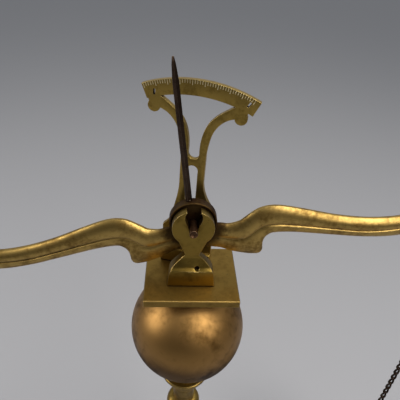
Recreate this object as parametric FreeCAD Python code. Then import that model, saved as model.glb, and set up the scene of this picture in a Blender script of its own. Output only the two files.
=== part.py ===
"""Brass beam scale: column, ball and head plate, swan-neck beam, pointer and lyre, two hung pans.

Units are millimetres. The origin is the centre of the base's underside, +X runs along the beam
to the right, +Y to the back and +Z up. The beam is stored resting a little left side down.
"""
import FreeCAD
import Part

import math
import os

V = FreeCAD.Vector
AXIS_X = V(1, 0, 0)
AXIS_Y = V(0, 1, 0)
AXIS_Z = V(0, 0, 1)
SIDES = {"left": -1, "right": 1}

# Clearances
RUN = 0.05            # radial, a pin that turns in its eye or notch
SLIP = 0.25           # radial, a fastener in its clearance hole
HANG = 0.3            # between loose curved pieces that hang on each other

# Base
BASE_R = 68.0
PAD_T = 2.0
PAD_INSET = 4.0
BASE_EDGE_H = 6.0     # straight edge of the foot
BASE_ROUND = 1.5
BASE_ROUND_BOW = 0.4
BASE_STEP_R = 44.9    # step half way up the foot
BASE_STEP_RISE = 15.1
BASE_STEP_H = 2.0
BASE_STEP_EASE = 1.5
BASE_CROWN_R = 40.8
BASE_SKIRT_BOW = 2.6
BASE_CROWN_BOW = 4.5
BASE_DOME_H = 36.0    # foot above its edge
BASE_TOP_R = 19.0
BASE_LIP_R = 22.0
BASE_LIP_H = 3.0
BASE_LIP_ROUND = 1.0
BASE_WALL = 6.0
RECESS_R = 16.0       # pocket for the nut under the foot
RECESS_H = 12.0

# Column, from the base up
KNOP_H = 16.0
KNOP_SHOULDER_R = 13.3
KNOP_SHOULDER_H = 2.0
KNOP_SWELL = 5.3
KNOP_CAP_H = 3.0
SHAFT_H = 168.0
SHAFT_FOOT_R = 13.0
SHAFT_GROOVE_R = 10.0
SHAFT_RING_RISE = 6.0 # ring near the shaft's foot
SHAFT_RING_H = 7.0
SHAFT_RING_EDGE = 2.0
SHAFT_RING_BOW = 0.6
SHAFT_BELLY_R = 18.0
SHAFT_BELLY_RISE = 45.4
SHAFT_BELLY_BOW = 3.2
SHAFT_TAPER_R = 11.5
SHAFT_TAPER_RISE = 92.4
SHAFT_TAPER_BOW = 1.2
SHAFT_TOP_R = 8.5
SHAFT_TOP_BOW = 2.2
SHAFT_COLLAR_R = 12.5
SHAFT_COLLAR_DROP = 16.0
SHAFT_COLLAR_BOW = 0.9
NECK_BEAD_H = 12.0    # bead at the bottom of the neck piece
NECK_BEAD_R = 13.0
WAIST_R = 8.0
WAIST_RISE = 2.5      # waist above the bead
STEM_R = 8.6
STEM_RISE = 14.0      # slim part above the waist
OGEE_R = 12.6
OGEE_RISE = 26.0      # turn of the ogee above the waist
OGEE_LOWER_BOW = 1.4
OGEE_UPPER_BOW = 1.0
FLANGE_RISE = 34.4    # flange's rim above the waist
FLANGE_R = 17.8
FLANGE_EASE = 1.5
FLANGE_ROUND = 0.5
FLANGE_T = 2.4
CUP_H = 12.8
CUP_FOOT_R = 13.0
CUP_NECK_R = 10.5
CUP_NECK_LOW = 3.0
CUP_NECK_HIGH = 6.0
CUP_NECK_BOW = 0.6
CUP_R = 13.5
CUP_LIP_DROP = 3.0
CUP_LIP_H = 1.5

# Ball and head plate
BALL_D = 76.0
BALL_WALL = 2.0
BALL_FLAT = 0.8       # depth of the flats that the cup and the collar sit on
COLLAR_R = 9.0
COLLAR_T = 5.4
COLLAR_EASE = 1.6
COLLAR_EASE_BOW = 0.2
SEAT_INSET = 0.2      # cup's and collar's edges inside the ball's flats
PLATE_W = 56.5
PLATE_X = 0.5
PLATE_D = 47.0
PLATE_T = 5.0
PLATE_EDGE = 0.5

# Tie rod, nut and washer
ROD_R = 3.0
ROD_HEAD_R = 5.5
ROD_HEAD_T = 3.0
NUT_AF = 10.0
NUT_T = 5.0
WASHER_R = 8.0
WASHER_T = 1.5
ROD_TAIL = 2.0        # thread past the nut
HEX_SIDES = 6

# Fulcrum
FULCRUM_RISE = 40.7   # pin axis above the plate
PIN_R = 2.35
PIN_FRONT = 13.5      # pin in front of the beam's middle
PIN_BACK = 16.0
DIMPLE_R = 2.8        # hollow in the pin's front end
DIMPLE_DEPTH = 1.05

# Front bearing
HEAD_R = 11.9
HEAD_T = 5.0
HEAD_GAP = 1.5        # head to beam hub
HEAD_TURN = 48.0      # where the round head runs into the upright, below level
NECK_HALF = 4.1
NECK_DROP = 18.3      # narrowest place of the upright, below the pin
NOTCH_TIP = 3.9
NOTCH_TIP_RISE = 10.6
NOTCH_BELLY = 4.7
NOTCH_BELLY_RISE = 6.0
NOTCH_HIP = 3.5
NOTCH_HIP_RISE = 2.6
FOOT_HALF = 14.0
FOOT_SHOULDER_HALF = 13.0
FOOT_SHOULDER_DROP = 30.5
FOOT_BOW_HALF = 8.3
FOOT_BOW_DROP = 23.4
FOOT_HIP_HALF = 11.2
FOOT_HIP_DROP = 27.0
FOOT_STEP = 3.3       # foot's front face in front of the upright
FOOT_FACE_DROP = 28.9
FOOT_LAND = 1.5       # narrow bevel between the foot's slope and its face
FOOT_LAND_DROP = 27.0
FOOT_CREST_DROP = 21.6
SPLICE = 1.0          # overlap of shapes before they are joined
PIT_R = 1.5
PIT_DEPTH = 2.0
PIT_X = 3.2
PIT_DROP = 27.3

# Screws that hold the two bearings
SCREW_R = 1.5
SCREW_HEAD_R = 2.5
SCREW_HEAD_T = 2.0
SLOT_W = 0.7
SLOT_DEPTH = 0.8
SCREW_GRIP = 7.0      # thread in the casting
SCREW_X = 10.0

# Lyre frame
LYRE_T = 3.0
LYRE_Y = 11.0         # middle of the lyre behind the beam's middle
LYRE_X = -1.8
LYRE_YAW = 15.0
LYRE_LEAN = 1.5
LYRE_FOOT_HALF = 15.5
LYRE_FOOT_T = 8.0
LYRE_FOOT_H = 10.0
LYRE_WAIST_HALF = 6.9
LYRE_STEM_W = 3.8
STEM_TOP = 38.0
BAR_BOTTOM = 30.0
BAR_TOP = 33.8
WINDOW_BOTTOM = 4.0
SHOULDER_LOW = -14.0  # where the lyre's flanks begin
STEM_FOOT = 20.0      # where they end in the stems
# Flanks, as x and z from the fulcrum, between those two heights
RIGHT_FLANK = [(16.6, -6.0), (15.0, -0.5), (13.0, 3.6), (10.4, 7.8), (8.3, 12.6)]
LEFT_FLANK = [(-11.2, -7.5), (-9.5, -0.5), (-8.7, 3.6), (-7.9, 7.8), (-7.2, 12.6)]
ARC_R = 77.0
ARC_BAND = 7.9
ARC_LEFT_ANGLE = 22.3
ARC_RIGHT_ANGLE = 23.9
SLIT_W = 1.1
SLIT_LEN = 3.0
# Slits in the band: x, z and lean in degrees, about the fulcrum
SLITS = [(-22.5, 68.0, 0.0), (25.6, 68.6, 32.0)]
LOBE_R = 3.3
LOBE_X = 22.5
LOBE_Z = 60.8

# Beam
BEAM_Y = 1.0
BEAM_TILT = -7.5      # about +Y, left side down
BEAM_HALF = 172.0     # fulcrum to end pin
HUB_R = 13.6
HUB_T = 5.0
RIM_W = 1.2
RIM_PROUD = 0.8
ARM_TOP_T = 1.6
ARM_LOW_T = 2.4
ARM_RIDGE_T = 7.6
ARM_STEPS = 3         # sections between two stations
HUB_INSET = 0.4       # arm's faces below the hub's
RIDGE_START = 14.0    # ridge rises over this stretch from the hub
RIDGE_RISE = 14.0
RIDGE_FALL = 30.0     # and falls over this one to the end boss
END_BOSS_R = 6.0
# Where the arm's upper edge, ridge and lower edge pass, as x and z from the fulcrum
NECK_STATIONS = [
    ((2, -3.8), (2, -12.0), (2, -18.6)),
    ((14, -3.8), (14, -13.1), (14, -21.2)),
    ((20, -5.0), (21, -14.4), (20, -24.2)),
    ((26, -3.9), (26.5, -15.0), (28, -26.9)),
    ((30, -1.1), (30.5, -14.1), (33.5, -28.1)),
    ((34, 1.9), (33.5, -11.7), (37.5, -27.9)),
    ((38, 4.2), (36.7, -8.9), (39.4, -25.1)),
    ((43, 5.3), (40.5, -7.0), (39.6, -19.6)),
    ((48, 5.1), (45.5, -6.5), (41.4, -15.4)),
    ((54, 3.8), (51.3, -6.9), (45.8, -13.2)),
    ((65, 0.4), (63, -9.1), (58, -14.1)),
    ((83, -5.4), (81, -13.0), (78, -18.0)),
]
# The same beyond the neck, as x from the end pin
TAIL_STATIONS = [
    ((-71, -9.2), (-72, -16.8), (-73, -22.0)),
    ((-54, -10.1), (-54, -17.1), (-54, -23.4)),
    ((-38, -7.7), (-38, -14.1), (-38, -20.4)),
    ((-22, -2.3), (-22, -7.9), (-22, -13.2)),
    ((-5, 2.6), (-5, -0.6), (-5, -3.8)),
]

# Pointer
POINTER_X = -1.1      # beside the fulcrum
POINTER_TIP = 91.0
POINTER_SHOULDER = 80.0
POINTER_NIB = 87.5
POINTER_W = 3.7
POINTER_TOP_W = 3.2
POINTER_NIB_W = 2.1
POINTER_TIP_W = 1.0
POINTER_T = 2.6
POINTER_TIP_T = 0.8
TANG_R = 1.2
TANG_LEN = 5.0
TANG_LAP = 0.5

# Stirrups
END_PIN_R = 1.5
END_PIN_HALF = 6.5
STRAP_T = 1.2
STRAP_W = 5.0
STRAP_GAP = 0.9       # beam end to strap
EYE_R = 4.0
BRIDGE_DROP = 21.0
BRIDGE_T = 1.6
TAB_T = 1.2
TAB_W = 7.0
TAB_H = 8.0
TAB_HOLE_R = 1.5
TAB_HOLE_DROP = 4.5   # hole below the bridge

# Hooks and rings
HOOK_WIRE_R = 1.0
HOOK_R = 4.0
HOOK_OPENING = 60.0
RING_WIRE_R = 0.8
RING_R = 3.2

# Chains and pans
CHAIN_R = 2.2
LOWER_CHAIN_R = 1.7
MAIN_CHAIN = 185.0
SPREADER_R = 9.0
SPREADER_T = 1.8
SPREADER_EYE_R = 2.6
SPREADER_PCR = 6.5
SPREADER_HOLE_R = 1.2
EYE_SINK = 0.5
CHAINS_PER_PAN = 3
CHAIN_DROP = 92.0     # spreader to pan rim
PAN_R = 56.0
PAN_WALL = 1.2
PAN_DEPTH = 18.0
PAN_FLOOR_R = 30.0
PAN_BOW = 2.6
RIM_FLAT = 6.0
RIM_HOLE_R = 1.6
RIM_HOLE_INSET = 3.5
RIM_RING_R = 3.0
RIM_RING_WIRE_R = 0.7

# Heights that follow from the sizes above
FOOT_Z = PAD_T
KNOP_Z = FOOT_Z + BASE_EDGE_H + BASE_DOME_H
SHAFT_Z = KNOP_Z + KNOP_H
NECK_Z = SHAFT_Z + SHAFT_H
FLANGE_Z = NECK_Z + NECK_BEAD_H + WAIST_RISE + FLANGE_RISE
CUP_Z = FLANGE_Z + FLANGE_T
BALL_BOTTOM = CUP_Z + CUP_H
BALL_Z = BALL_BOTTOM + BALL_D / 2 - BALL_FLAT
COLLAR_Z = BALL_Z + BALL_D / 2 - BALL_FLAT
PLATE_Z = COLLAR_Z + COLLAR_T
PLATE_TOP = PLATE_Z + PLATE_T
FULCRUM_Z = PLATE_TOP + FULCRUM_RISE
FULCRUM = V(0, BEAM_Y, FULCRUM_Z)
HEAD_BACK = BEAM_Y - HUB_T / 2 - HEAD_GAP
HEAD_FRONT = HEAD_BACK - HEAD_T


def turned(points):
    """Solid of revolution about Z from (radius, height, bow) points; bow bends the line to it."""
    edges = []
    for (r0, z0, _), (r1, z1, bow) in zip(points, points[1:] + points[:1]):
        start = V(r0, 0, z0)
        end = V(r1, 0, z1)
        if bow == 0:
            edges.append(Part.makeLine(start, end))
            continue
        run = (end - start).normalize()
        middle = (start + end) * 0.5 + V(run.z, 0, -run.x) * bow
        edges.append(Part.Arc(start, middle, end).toShape())
    return Part.Face(Part.Wire(edges)).revolve(V(0, 0, 0), AXIS_Z, 360)


def cylinder(radius, length, base, axis):
    return Part.makeCylinder(radius, length, base, axis)


def torus(major, minor, centre, axis):
    return Part.makeTorus(major, minor, centre, axis)


def plate_xz(edges, y, thickness):
    """Extrude a closed outline drawn in the XZ plane, from y towards the back."""
    face = Part.Face(Part.Wire(Part.__sortEdges__(edges)))
    face.translate(V(0, y, 0))
    return face.extrude(V(0, thickness, 0))


def lines(points):
    """Straight edges through (x, z) points."""
    corners = [V(x, 0, z) for x, z in points]
    return [Part.makeLine(a, b) for a, b in zip(corners, corners[1:])]


def curve(points):
    """One smooth edge through (x, z) points."""
    spline = Part.BSplineCurve()
    spline.interpolate([V(x, 0, z) for x, z in points])
    return spline.toShape()


def mirrored(shape):
    return shape.mirror(V(0, 0, 0), AXIS_X)


def merged(shapes):
    """Fuse solids into one and drop the seams between them."""
    return shapes[0].multiFuse(shapes[1:]).removeSplitter()


# Stand


def make_base_pad():
    return cylinder(BASE_R - PAD_INSET, PAD_T, V(0, 0, 0), AXIS_Z)


def make_base_foot():
    edge_top = FOOT_Z + BASE_EDGE_H
    step_z = edge_top + BASE_STEP_RISE
    bore = ROD_R + SLIP
    body = turned([
        (bore, FOOT_Z, 0),
        (BASE_R - BASE_ROUND, FOOT_Z, 0),
        (BASE_R, FOOT_Z + BASE_ROUND, BASE_ROUND_BOW),
        (BASE_R, edge_top - BASE_ROUND, 0),
        (BASE_R - BASE_ROUND, edge_top, BASE_ROUND_BOW),
        (BASE_STEP_R, step_z - BASE_STEP_H, -BASE_SKIRT_BOW),
        (BASE_STEP_R, step_z, 0),
        (BASE_CROWN_R, step_z + BASE_STEP_EASE, BASE_ROUND_BOW),
        (BASE_LIP_R, KNOP_Z - BASE_LIP_H, -BASE_CROWN_BOW),
        (BASE_LIP_R, KNOP_Z - BASE_LIP_ROUND, 0),
        (BASE_TOP_R, KNOP_Z, BASE_ROUND_BOW),
        (bore, KNOP_Z, 0),
    ])
    hollow = turned([
        (RECESS_R, FOOT_Z, 0),
        (BASE_R - BASE_WALL, FOOT_Z, 0),
        (BASE_R - BASE_WALL, edge_top - BASE_WALL / 2, 0),
        (BASE_STEP_R - BASE_WALL, step_z - BASE_WALL, -BASE_SKIRT_BOW),
        (RECESS_R, step_z - BASE_WALL, 0),
    ])
    pocket = cylinder(RECESS_R, RECESS_H, V(0, 0, FOOT_Z), AXIS_Z)
    return body.cut(hollow).cut(pocket)


def make_lower_knop():
    top = KNOP_Z + KNOP_H
    return turned([
        (ROD_R + SLIP, KNOP_Z, 0),
        (KNOP_SHOULDER_R, KNOP_Z, 0),
        (KNOP_SHOULDER_R, KNOP_Z + KNOP_SHOULDER_H, 0),
        (KNOP_SHOULDER_R, top - KNOP_CAP_H, KNOP_SWELL),
        (SHAFT_FOOT_R, top - KNOP_CAP_H, 0),
        (SHAFT_FOOT_R, top, 0),
        (ROD_R + SLIP, top, 0),
    ])


def make_column_shaft():
    """Baluster with a ring near its foot and a collar near its top."""
    ring_low = SHAFT_Z + SHAFT_RING_RISE
    ring_top = ring_low + SHAFT_RING_H
    collar_low = NECK_Z - SHAFT_COLLAR_DROP
    collar_top = collar_low + SHAFT_RING_H + BASE_LIP_ROUND
    return turned([
        (ROD_R + SLIP, SHAFT_Z, 0),
        (SHAFT_GROOVE_R, SHAFT_Z, 0),
        (SHAFT_GROOVE_R, ring_low, 0),
        (SHAFT_FOOT_R, ring_low + SHAFT_RING_EDGE, 0),
        (SHAFT_FOOT_R, ring_top - SHAFT_RING_EDGE, SHAFT_RING_BOW),
        (SHAFT_GROOVE_R, ring_top, 0),
        (SHAFT_BELLY_R, SHAFT_Z + SHAFT_BELLY_RISE, SHAFT_BELLY_BOW),
        (SHAFT_TAPER_R, SHAFT_Z + SHAFT_TAPER_RISE, SHAFT_TAPER_BOW),
        (SHAFT_TOP_R, collar_low, -SHAFT_TOP_BOW),
        (SHAFT_COLLAR_R, collar_low + SHAFT_RING_EDGE, 0),
        (SHAFT_COLLAR_R, collar_top - SHAFT_RING_EDGE, SHAFT_COLLAR_BOW),
        (SHAFT_TOP_R, collar_top, 0),
        (SHAFT_TOP_R, NECK_Z, 0),
        (ROD_R + SLIP, NECK_Z, 0),
    ])


def make_column_neck():
    """Bead, waist, slim stem and ogee up to the flange."""
    waist_z = NECK_Z + NECK_BEAD_H + WAIST_RISE
    return turned([
        (ROD_R + SLIP, NECK_Z, 0),
        (SHAFT_TOP_R, NECK_Z, 0),
        (WAIST_R, NECK_Z + NECK_BEAD_H, NECK_BEAD_R - WAIST_R),
        (WAIST_R, waist_z, 0),
        (STEM_R, waist_z + STEM_RISE, 0),
        (OGEE_R, waist_z + OGEE_RISE, -OGEE_LOWER_BOW),
        (FLANGE_R - FLANGE_EASE, FLANGE_Z - FLANGE_EASE, OGEE_UPPER_BOW),
        (FLANGE_R, FLANGE_Z, 0),
        (FLANGE_R, FLANGE_Z + FLANGE_T - FLANGE_ROUND, 0),
        (FLANGE_R - FLANGE_ROUND, FLANGE_Z + FLANGE_T, 0),
        (ROD_R + SLIP, FLANGE_Z + FLANGE_T, 0),
    ])


def make_ball_cup():
    lip_z = BALL_BOTTOM - CUP_LIP_DROP
    return turned([
        (ROD_R + SLIP, CUP_Z, 0),
        (CUP_FOOT_R, CUP_Z, 0),
        (CUP_NECK_R, CUP_Z + CUP_NECK_LOW, -CUP_NECK_BOW),
        (CUP_NECK_R, CUP_Z + CUP_NECK_HIGH, 0),
        (CUP_R, lip_z, -CUP_NECK_BOW),
        (CUP_R, lip_z + CUP_LIP_H, 0),
        (seat_radius() - SEAT_INSET, BALL_BOTTOM, 0),
        (ROD_R + SLIP, BALL_BOTTOM, 0),
    ])


def seat_radius():
    """Radius of the flat that is cut on the ball for its two seats."""
    ball_r = BALL_D / 2
    return math.sqrt(ball_r ** 2 - (ball_r - BALL_FLAT) ** 2)


def make_ball():
    radius = BALL_D / 2
    centre = V(0, 0, BALL_Z)
    shell = Part.makeSphere(radius, centre)
    flats = Part.makeBox(BALL_D, BALL_D, BALL_D - 2 * BALL_FLAT)
    flats.translate(V(-radius, -radius, BALL_Z - radius + BALL_FLAT))
    bore = cylinder(ROD_R + SLIP, BALL_D, V(0, 0, BALL_Z - radius), AXIS_Z)
    return shell.common(flats).cut(Part.makeSphere(radius - BALL_WALL, centre)).cut(bore)


def make_ball_collar():
    seat = seat_radius() - SEAT_INSET
    return turned([
        (ROD_R + SLIP, COLLAR_Z, 0),
        (seat, COLLAR_Z, 0),
        (COLLAR_R, COLLAR_Z + COLLAR_EASE, COLLAR_EASE_BOW),
        (COLLAR_R, PLATE_Z, 0),
        (ROD_R + SLIP, PLATE_Z, 0),
    ])


def make_head_plate():
    plate = Part.makeBox(PLATE_W, PLATE_D, PLATE_T, V(PLATE_X - PLATE_W / 2, -PLATE_D / 2, PLATE_Z))
    plate = plate.makeChamfer(PLATE_EDGE, plate.Edges)
    sink_z = PLATE_TOP - ROD_HEAD_T
    cuts = [cylinder(ROD_R + SLIP, PLATE_T, V(0, 0, PLATE_Z), AXIS_Z)]
    cuts.append(Part.makeCone(ROD_R + SLIP, ROD_HEAD_R + SLIP, ROD_HEAD_T, V(0, 0, sink_z), AXIS_Z))
    for spot in screw_spots():
        cuts.append(cylinder(SCREW_R + SLIP, PLATE_T, V(spot.x, spot.y, PLATE_Z), AXIS_Z))
    return plate.cut(Part.makeCompound(cuts))


def make_tie_rod():
    start = FOOT_Z + RECESS_H - WASHER_T - NUT_T - ROD_TAIL
    shank = cylinder(ROD_R, PLATE_TOP - start, V(0, 0, start), AXIS_Z)
    head = Part.makeCone(ROD_R, ROD_HEAD_R, ROD_HEAD_T, V(0, 0, PLATE_TOP - ROD_HEAD_T), AXIS_Z)
    return merged([shank, head])


def make_tie_washer():
    base = V(0, 0, FOOT_Z + RECESS_H - WASHER_T)
    hole = cylinder(ROD_R + SLIP, WASHER_T, base, AXIS_Z)
    return cylinder(WASHER_R, WASHER_T, base, AXIS_Z).cut(hole)


def make_tie_nut():
    z = FOOT_Z + RECESS_H - WASHER_T - NUT_T
    corner_r = NUT_AF / 2 / math.cos(math.pi / HEX_SIDES)
    corners = []
    for k in range(HEX_SIDES + 1):
        angle = 2 * math.pi * k / HEX_SIDES
        corners.append(V(corner_r * math.cos(angle), corner_r * math.sin(angle), z))
    nut = Part.Face(Part.makePolygon(corners)).extrude(V(0, 0, NUT_T))
    return nut.cut(cylinder(ROD_R + RUN, NUT_T, V(0, 0, z), AXIS_Z))


def front_foot_y():
    """Middle of the front foot, where its screws go in."""
    return HEAD_BACK - (HEAD_T + FOOT_STEP) / 2


def lyre_placed(shape):
    """Move a shape drawn about the fulcrum to the lyre's own leaning, turned place."""
    shape.rotate(V(0, 0, 0), AXIS_Y, LYRE_LEAN)
    shape.rotate(V(0, 0, 0), AXIS_Z, -LYRE_YAW)
    shape.translate(V(LYRE_X, BEAM_Y + LYRE_Y, FULCRUM_Z))
    return shape


def screw_spots():
    """The four screws in plan: two in the front foot, two in the lyre's foot."""
    spots = [V(side * SCREW_X, front_foot_y(), 0) for side in SIDES.values()]
    yaw = math.radians(LYRE_YAW)
    for side in SIDES.values():
        reach = side * SCREW_X
        x = LYRE_X + reach * math.cos(yaw)
        spots.append(V(x, BEAM_Y + LYRE_Y - reach * math.sin(yaw), 0))
    return spots


def screw_holes():
    depth = SCREW_GRIP + SPLICE
    holes = [cylinder(SCREW_R + RUN, depth, V(s.x, s.y, PLATE_TOP), AXIS_Z) for s in screw_spots()]
    return Part.makeCompound(holes)


def make_bearing_screws():
    """Four identical screws, heads under the plate."""
    screws = []
    for spot in screw_spots():
        head_base = V(spot.x, spot.y, PLATE_Z - SCREW_HEAD_T)
        head = cylinder(SCREW_HEAD_R, SCREW_HEAD_T, head_base, AXIS_Z)
        corner = head_base - V(SCREW_HEAD_R, SLOT_W / 2, 0)
        slot = Part.makeBox(2 * SCREW_HEAD_R, SLOT_W, SLOT_DEPTH, corner)
        shank = cylinder(SCREW_R, PLATE_T + SCREW_GRIP, V(spot.x, spot.y, PLATE_Z), AXIS_Z)
        screws.append(merged([head, shank]).cut(slot))
    return Part.makeCompound(screws)


def notch_outline(tip_rise):
    """Open-topped keyhole that the centre pin drops into."""
    radius = PIN_R + RUN
    right = curve([(radius, 0), (NOTCH_HIP, NOTCH_HIP_RISE), (NOTCH_BELLY, NOTCH_BELLY_RISE),
                   (NOTCH_TIP, NOTCH_TIP_RISE)])
    left = mirrored(right)
    seat = Part.Arc(V(radius, 0, 0), V(0, 0, -radius), V(-radius, 0, 0)).toShape()
    top = lines([(NOTCH_TIP, NOTCH_TIP_RISE), (NOTCH_TIP, tip_rise), (-NOTCH_TIP, tip_rise),
                 (-NOTCH_TIP, NOTCH_TIP_RISE)])
    return [right, left, seat] + top


def make_front_bearing():
    """Stepped foot, slim upright and round head with its open notch."""
    depth = HEAD_T + FOOT_STEP
    turn = math.radians(HEAD_TURN)
    tangent = (HEAD_R * math.cos(turn), -HEAD_R * math.sin(turn))
    head = cylinder(HEAD_R, HEAD_T, V(0, HEAD_FRONT, 0), AXIS_Y)
    waist = -NECK_DROP - SPLICE / 2
    upright = plate_xz(lines([tangent, (NECK_HALF, -NECK_DROP), (NECK_HALF, -FOOT_BOW_DROP),
                              (-NECK_HALF, -FOOT_BOW_DROP), (-NECK_HALF, -NECK_DROP),
                              (-tangent[0], tangent[1]), tangent]), HEAD_FRONT, HEAD_T)
    bell = curve([(FOOT_SHOULDER_HALF, -FOOT_SHOULDER_DROP), (FOOT_HIP_HALF, -FOOT_HIP_DROP),
                  (FOOT_BOW_HALF, -FOOT_BOW_DROP), (NECK_HALF, waist)])
    sole = lines([(FOOT_SHOULDER_HALF, -FOOT_SHOULDER_DROP), (FOOT_HALF, -FULCRUM_RISE),
                  (-FOOT_HALF, -FULCRUM_RISE), (-FOOT_SHOULDER_HALF, -FOOT_SHOULDER_DROP)])
    crown = lines([(NECK_HALF, waist), (-NECK_HALF, waist)])
    silhouette = plate_xz([bell, mirrored(bell)] + sole + crown, HEAD_BACK - depth, depth)
    face_y = HEAD_FRONT - FOOT_STEP
    side = [(HEAD_BACK, -FULCRUM_RISE), (face_y, -FULCRUM_RISE), (face_y, -FOOT_FACE_DROP),
            (face_y + FOOT_LAND, -FOOT_LAND_DROP), (HEAD_FRONT, -FOOT_CREST_DROP),
            (HEAD_FRONT, SPLICE - NECK_DROP), (HEAD_BACK, SPLICE - NECK_DROP)]
    corners = [V(-FOOT_HALF - SPLICE, y, z) for y, z in side + side[:1]]
    profile = Part.Face(Part.makePolygon(corners)).extrude(V(2 * (FOOT_HALF + SPLICE), 0, 0))
    foot = silhouette.common(profile)
    notch = plate_xz(notch_outline(HEAD_R + SPLICE), HEAD_FRONT, HEAD_T)
    pit = cylinder(PIT_R, PIT_DEPTH + FOOT_LAND, V(PIT_X, face_y, -PIT_DROP), AXIS_Y)
    casting = merged([head, upright, foot]).cut(notch).cut(pit)
    casting.translate(V(0, 0, FULCRUM_Z))
    return casting.cut(screw_holes())


def lyre_branch():
    """Right branch, from the stem's top to the arc, with its lobe."""
    inner_x = LYRE_WAIST_HALF - LYRE_STEM_W
    outer = curve([(LYRE_WAIST_HALF, STEM_TOP), (7.5, 42.8), (8.9, 49.2), (11.0, 53.8), (14.4, 57.6),
                   (19.6, 60.2)])
    inner = curve([(19.2, 66.6), (15.5, 63.9), (12.2, 61.5), (8.9, 58.4), (6.2, 54.7), (4.4, 50.2),
                   (3.4, 45.4), (inner_x, STEM_TOP)])
    pad = lines([(19.6, 60.2), (25.0, 62.4), (25.6, 64.2), (26.6, 65.6), (26.2, 67.6), (19.2, 66.6)])
    foot = lines([(inner_x, STEM_TOP), (LYRE_WAIST_HALF, STEM_TOP)])
    branch = plate_xz([outer, inner] + pad + foot, -LYRE_T / 2, LYRE_T)
    lobe = cylinder(LOBE_R, LYRE_T, V(LOBE_X, -LYRE_T / 2, LOBE_Z), AXIS_Y)
    return [branch, lobe]


def lyre_arc():
    """Graduated band, concentric with the fulcrum."""
    ends = [math.radians(-ARC_LEFT_ANGLE), math.radians(ARC_RIGHT_ANGLE)]
    edges = []
    for radius in (ARC_R, ARC_R - ARC_BAND):
        start, end = [V(radius * math.sin(a), 0, radius * math.cos(a)) for a in ends]
        edges.append(Part.Arc(start, V(0, 0, radius), end).toShape())
    for angle in ends:
        edges += lines([(r * math.sin(angle), r * math.cos(angle)) for r in (ARC_R, ARC_R - ARC_BAND)])
    return plate_xz(edges, -LYRE_T / 2, LYRE_T)


def lyre_slits():
    """Narrow pierced slits above the lobes."""
    slits = []
    for x, z, lean in SLITS:
        slit = Part.makeBox(SLIT_W, 2 * LYRE_T, SLIT_LEN, V(-SLIT_W / 2, -LYRE_T, -SLIT_LEN / 2))
        slit.rotate(V(0, 0, 0), AXIS_Y, lean)
        slit.translate(V(x, 0, z))
        slits.append(slit)
    return Part.makeCompound(slits)


def make_lyre_frame():
    """Rear bearing, stems, crossbar, branches and graduated arc in one casting."""
    half = LYRE_FOOT_HALF
    waist = LYRE_WAIST_HALF
    right = curve([(half, SHOULDER_LOW)] + RIGHT_FLANK + [(waist, STEM_FOOT)])
    left = curve([(-half, SHOULDER_LOW)] + LEFT_FLANK + [(-waist, STEM_FOOT)])
    sole = lines([(half, SHOULDER_LOW), (half, -FULCRUM_RISE), (-half, -FULCRUM_RISE),
                  (-half, SHOULDER_LOW)])
    stems = lines([(waist, STEM_FOOT), (waist, STEM_TOP), (-waist, STEM_TOP), (-waist, STEM_FOOT)])
    body = plate_xz([right, left] + sole + stems, -LYRE_T / 2, LYRE_T)
    gap = waist - LYRE_STEM_W
    window = plate_xz(window_outline(gap, WINDOW_BOTTOM, BAR_BOTTOM), -LYRE_T, 2 * LYRE_T)
    crotch = plate_xz(window_outline(gap, BAR_TOP, STEM_TOP + 2 * gap), -LYRE_T, 2 * LYRE_T)
    foot = Part.makeBox(2 * half, LYRE_FOOT_T, LYRE_FOOT_H)
    foot.translate(V(-half, -LYRE_FOOT_T / 2, -FULCRUM_RISE))
    body = merged([body, foot]).cut(window).cut(crotch)
    branches = lyre_branch()
    casting = merged([body, lyre_arc()] + branches + [mirrored(piece) for piece in branches])
    casting = lyre_placed(casting.cut(lyre_slits()))
    below = Part.makeBox(PLATE_W, PLATE_D, PLATE_T, V(PLATE_X - PLATE_W / 2, -PLATE_D / 2, PLATE_Z))
    slot_half = PIN_R + RUN
    slot_h = WINDOW_BOTTOM + gap
    slot = Part.makeBox(2 * slot_half, PIN_BACK, slot_h, V(-slot_half, BEAM_Y, FULCRUM_Z))
    seat = cylinder(slot_half, PIN_BACK, FULCRUM, AXIS_Y)
    return casting.cut(below).cut(slot).cut(seat).cut(screw_holes())


def window_outline(half, bottom, top):
    """Round-ended slot between the stems."""
    low = bottom + half
    high = top - half
    return [
        Part.Arc(V(-half, 0, low), V(0, 0, bottom), V(half, 0, low)).toShape(),
        Part.Arc(V(-half, 0, high), V(0, 0, top), V(half, 0, high)).toShape(),
    ] + lines([(half, low), (half, high)]) + lines([(-half, low), (-half, high)])


# Beam


def beam_placed(shape):
    """Move a shape drawn about the fulcrum with the beam level to its resting place."""
    shape.rotate(V(0, 0, 0), AXIS_Y, BEAM_TILT)
    shape.translate(FULCRUM)
    return shape


def ridge_half(x):
    """Half thickness at the ridge: just within the hub, full on the arm, within the boss again."""
    inner = HUB_T / 2 - HUB_INSET
    climb = max(0.0, (x - RIDGE_START) / RIDGE_RISE)
    fall = max(0.0, (BEAM_HALF - END_BOSS_R - x) / RIDGE_FALL)
    rise = min(1.0, climb, fall)
    return inner + (ARM_RIDGE_T / 2 - inner) * rise


def arm_stations():
    """All stations of the right arm, measured from the fulcrum."""
    tail = [tuple((x + BEAM_HALF, z) for x, z in station) for station in TAIL_STATIONS]
    return NECK_STATIONS + tail


def arm_rail(row):
    """Smooth line along the arm through one column of the stations, read at even steps."""
    spline = Part.BSplineCurve()
    points = [V(station[row][0], 0, station[row][1]) for station in arm_stations()]
    knots = [float(k) for k in range(len(points))]
    spline.interpolate(Points=points, Parameters=knots)
    count = (len(points) - 1) * ARM_STEPS
    return [spline.value(k / ARM_STEPS) for k in range(count + 1)]


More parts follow.
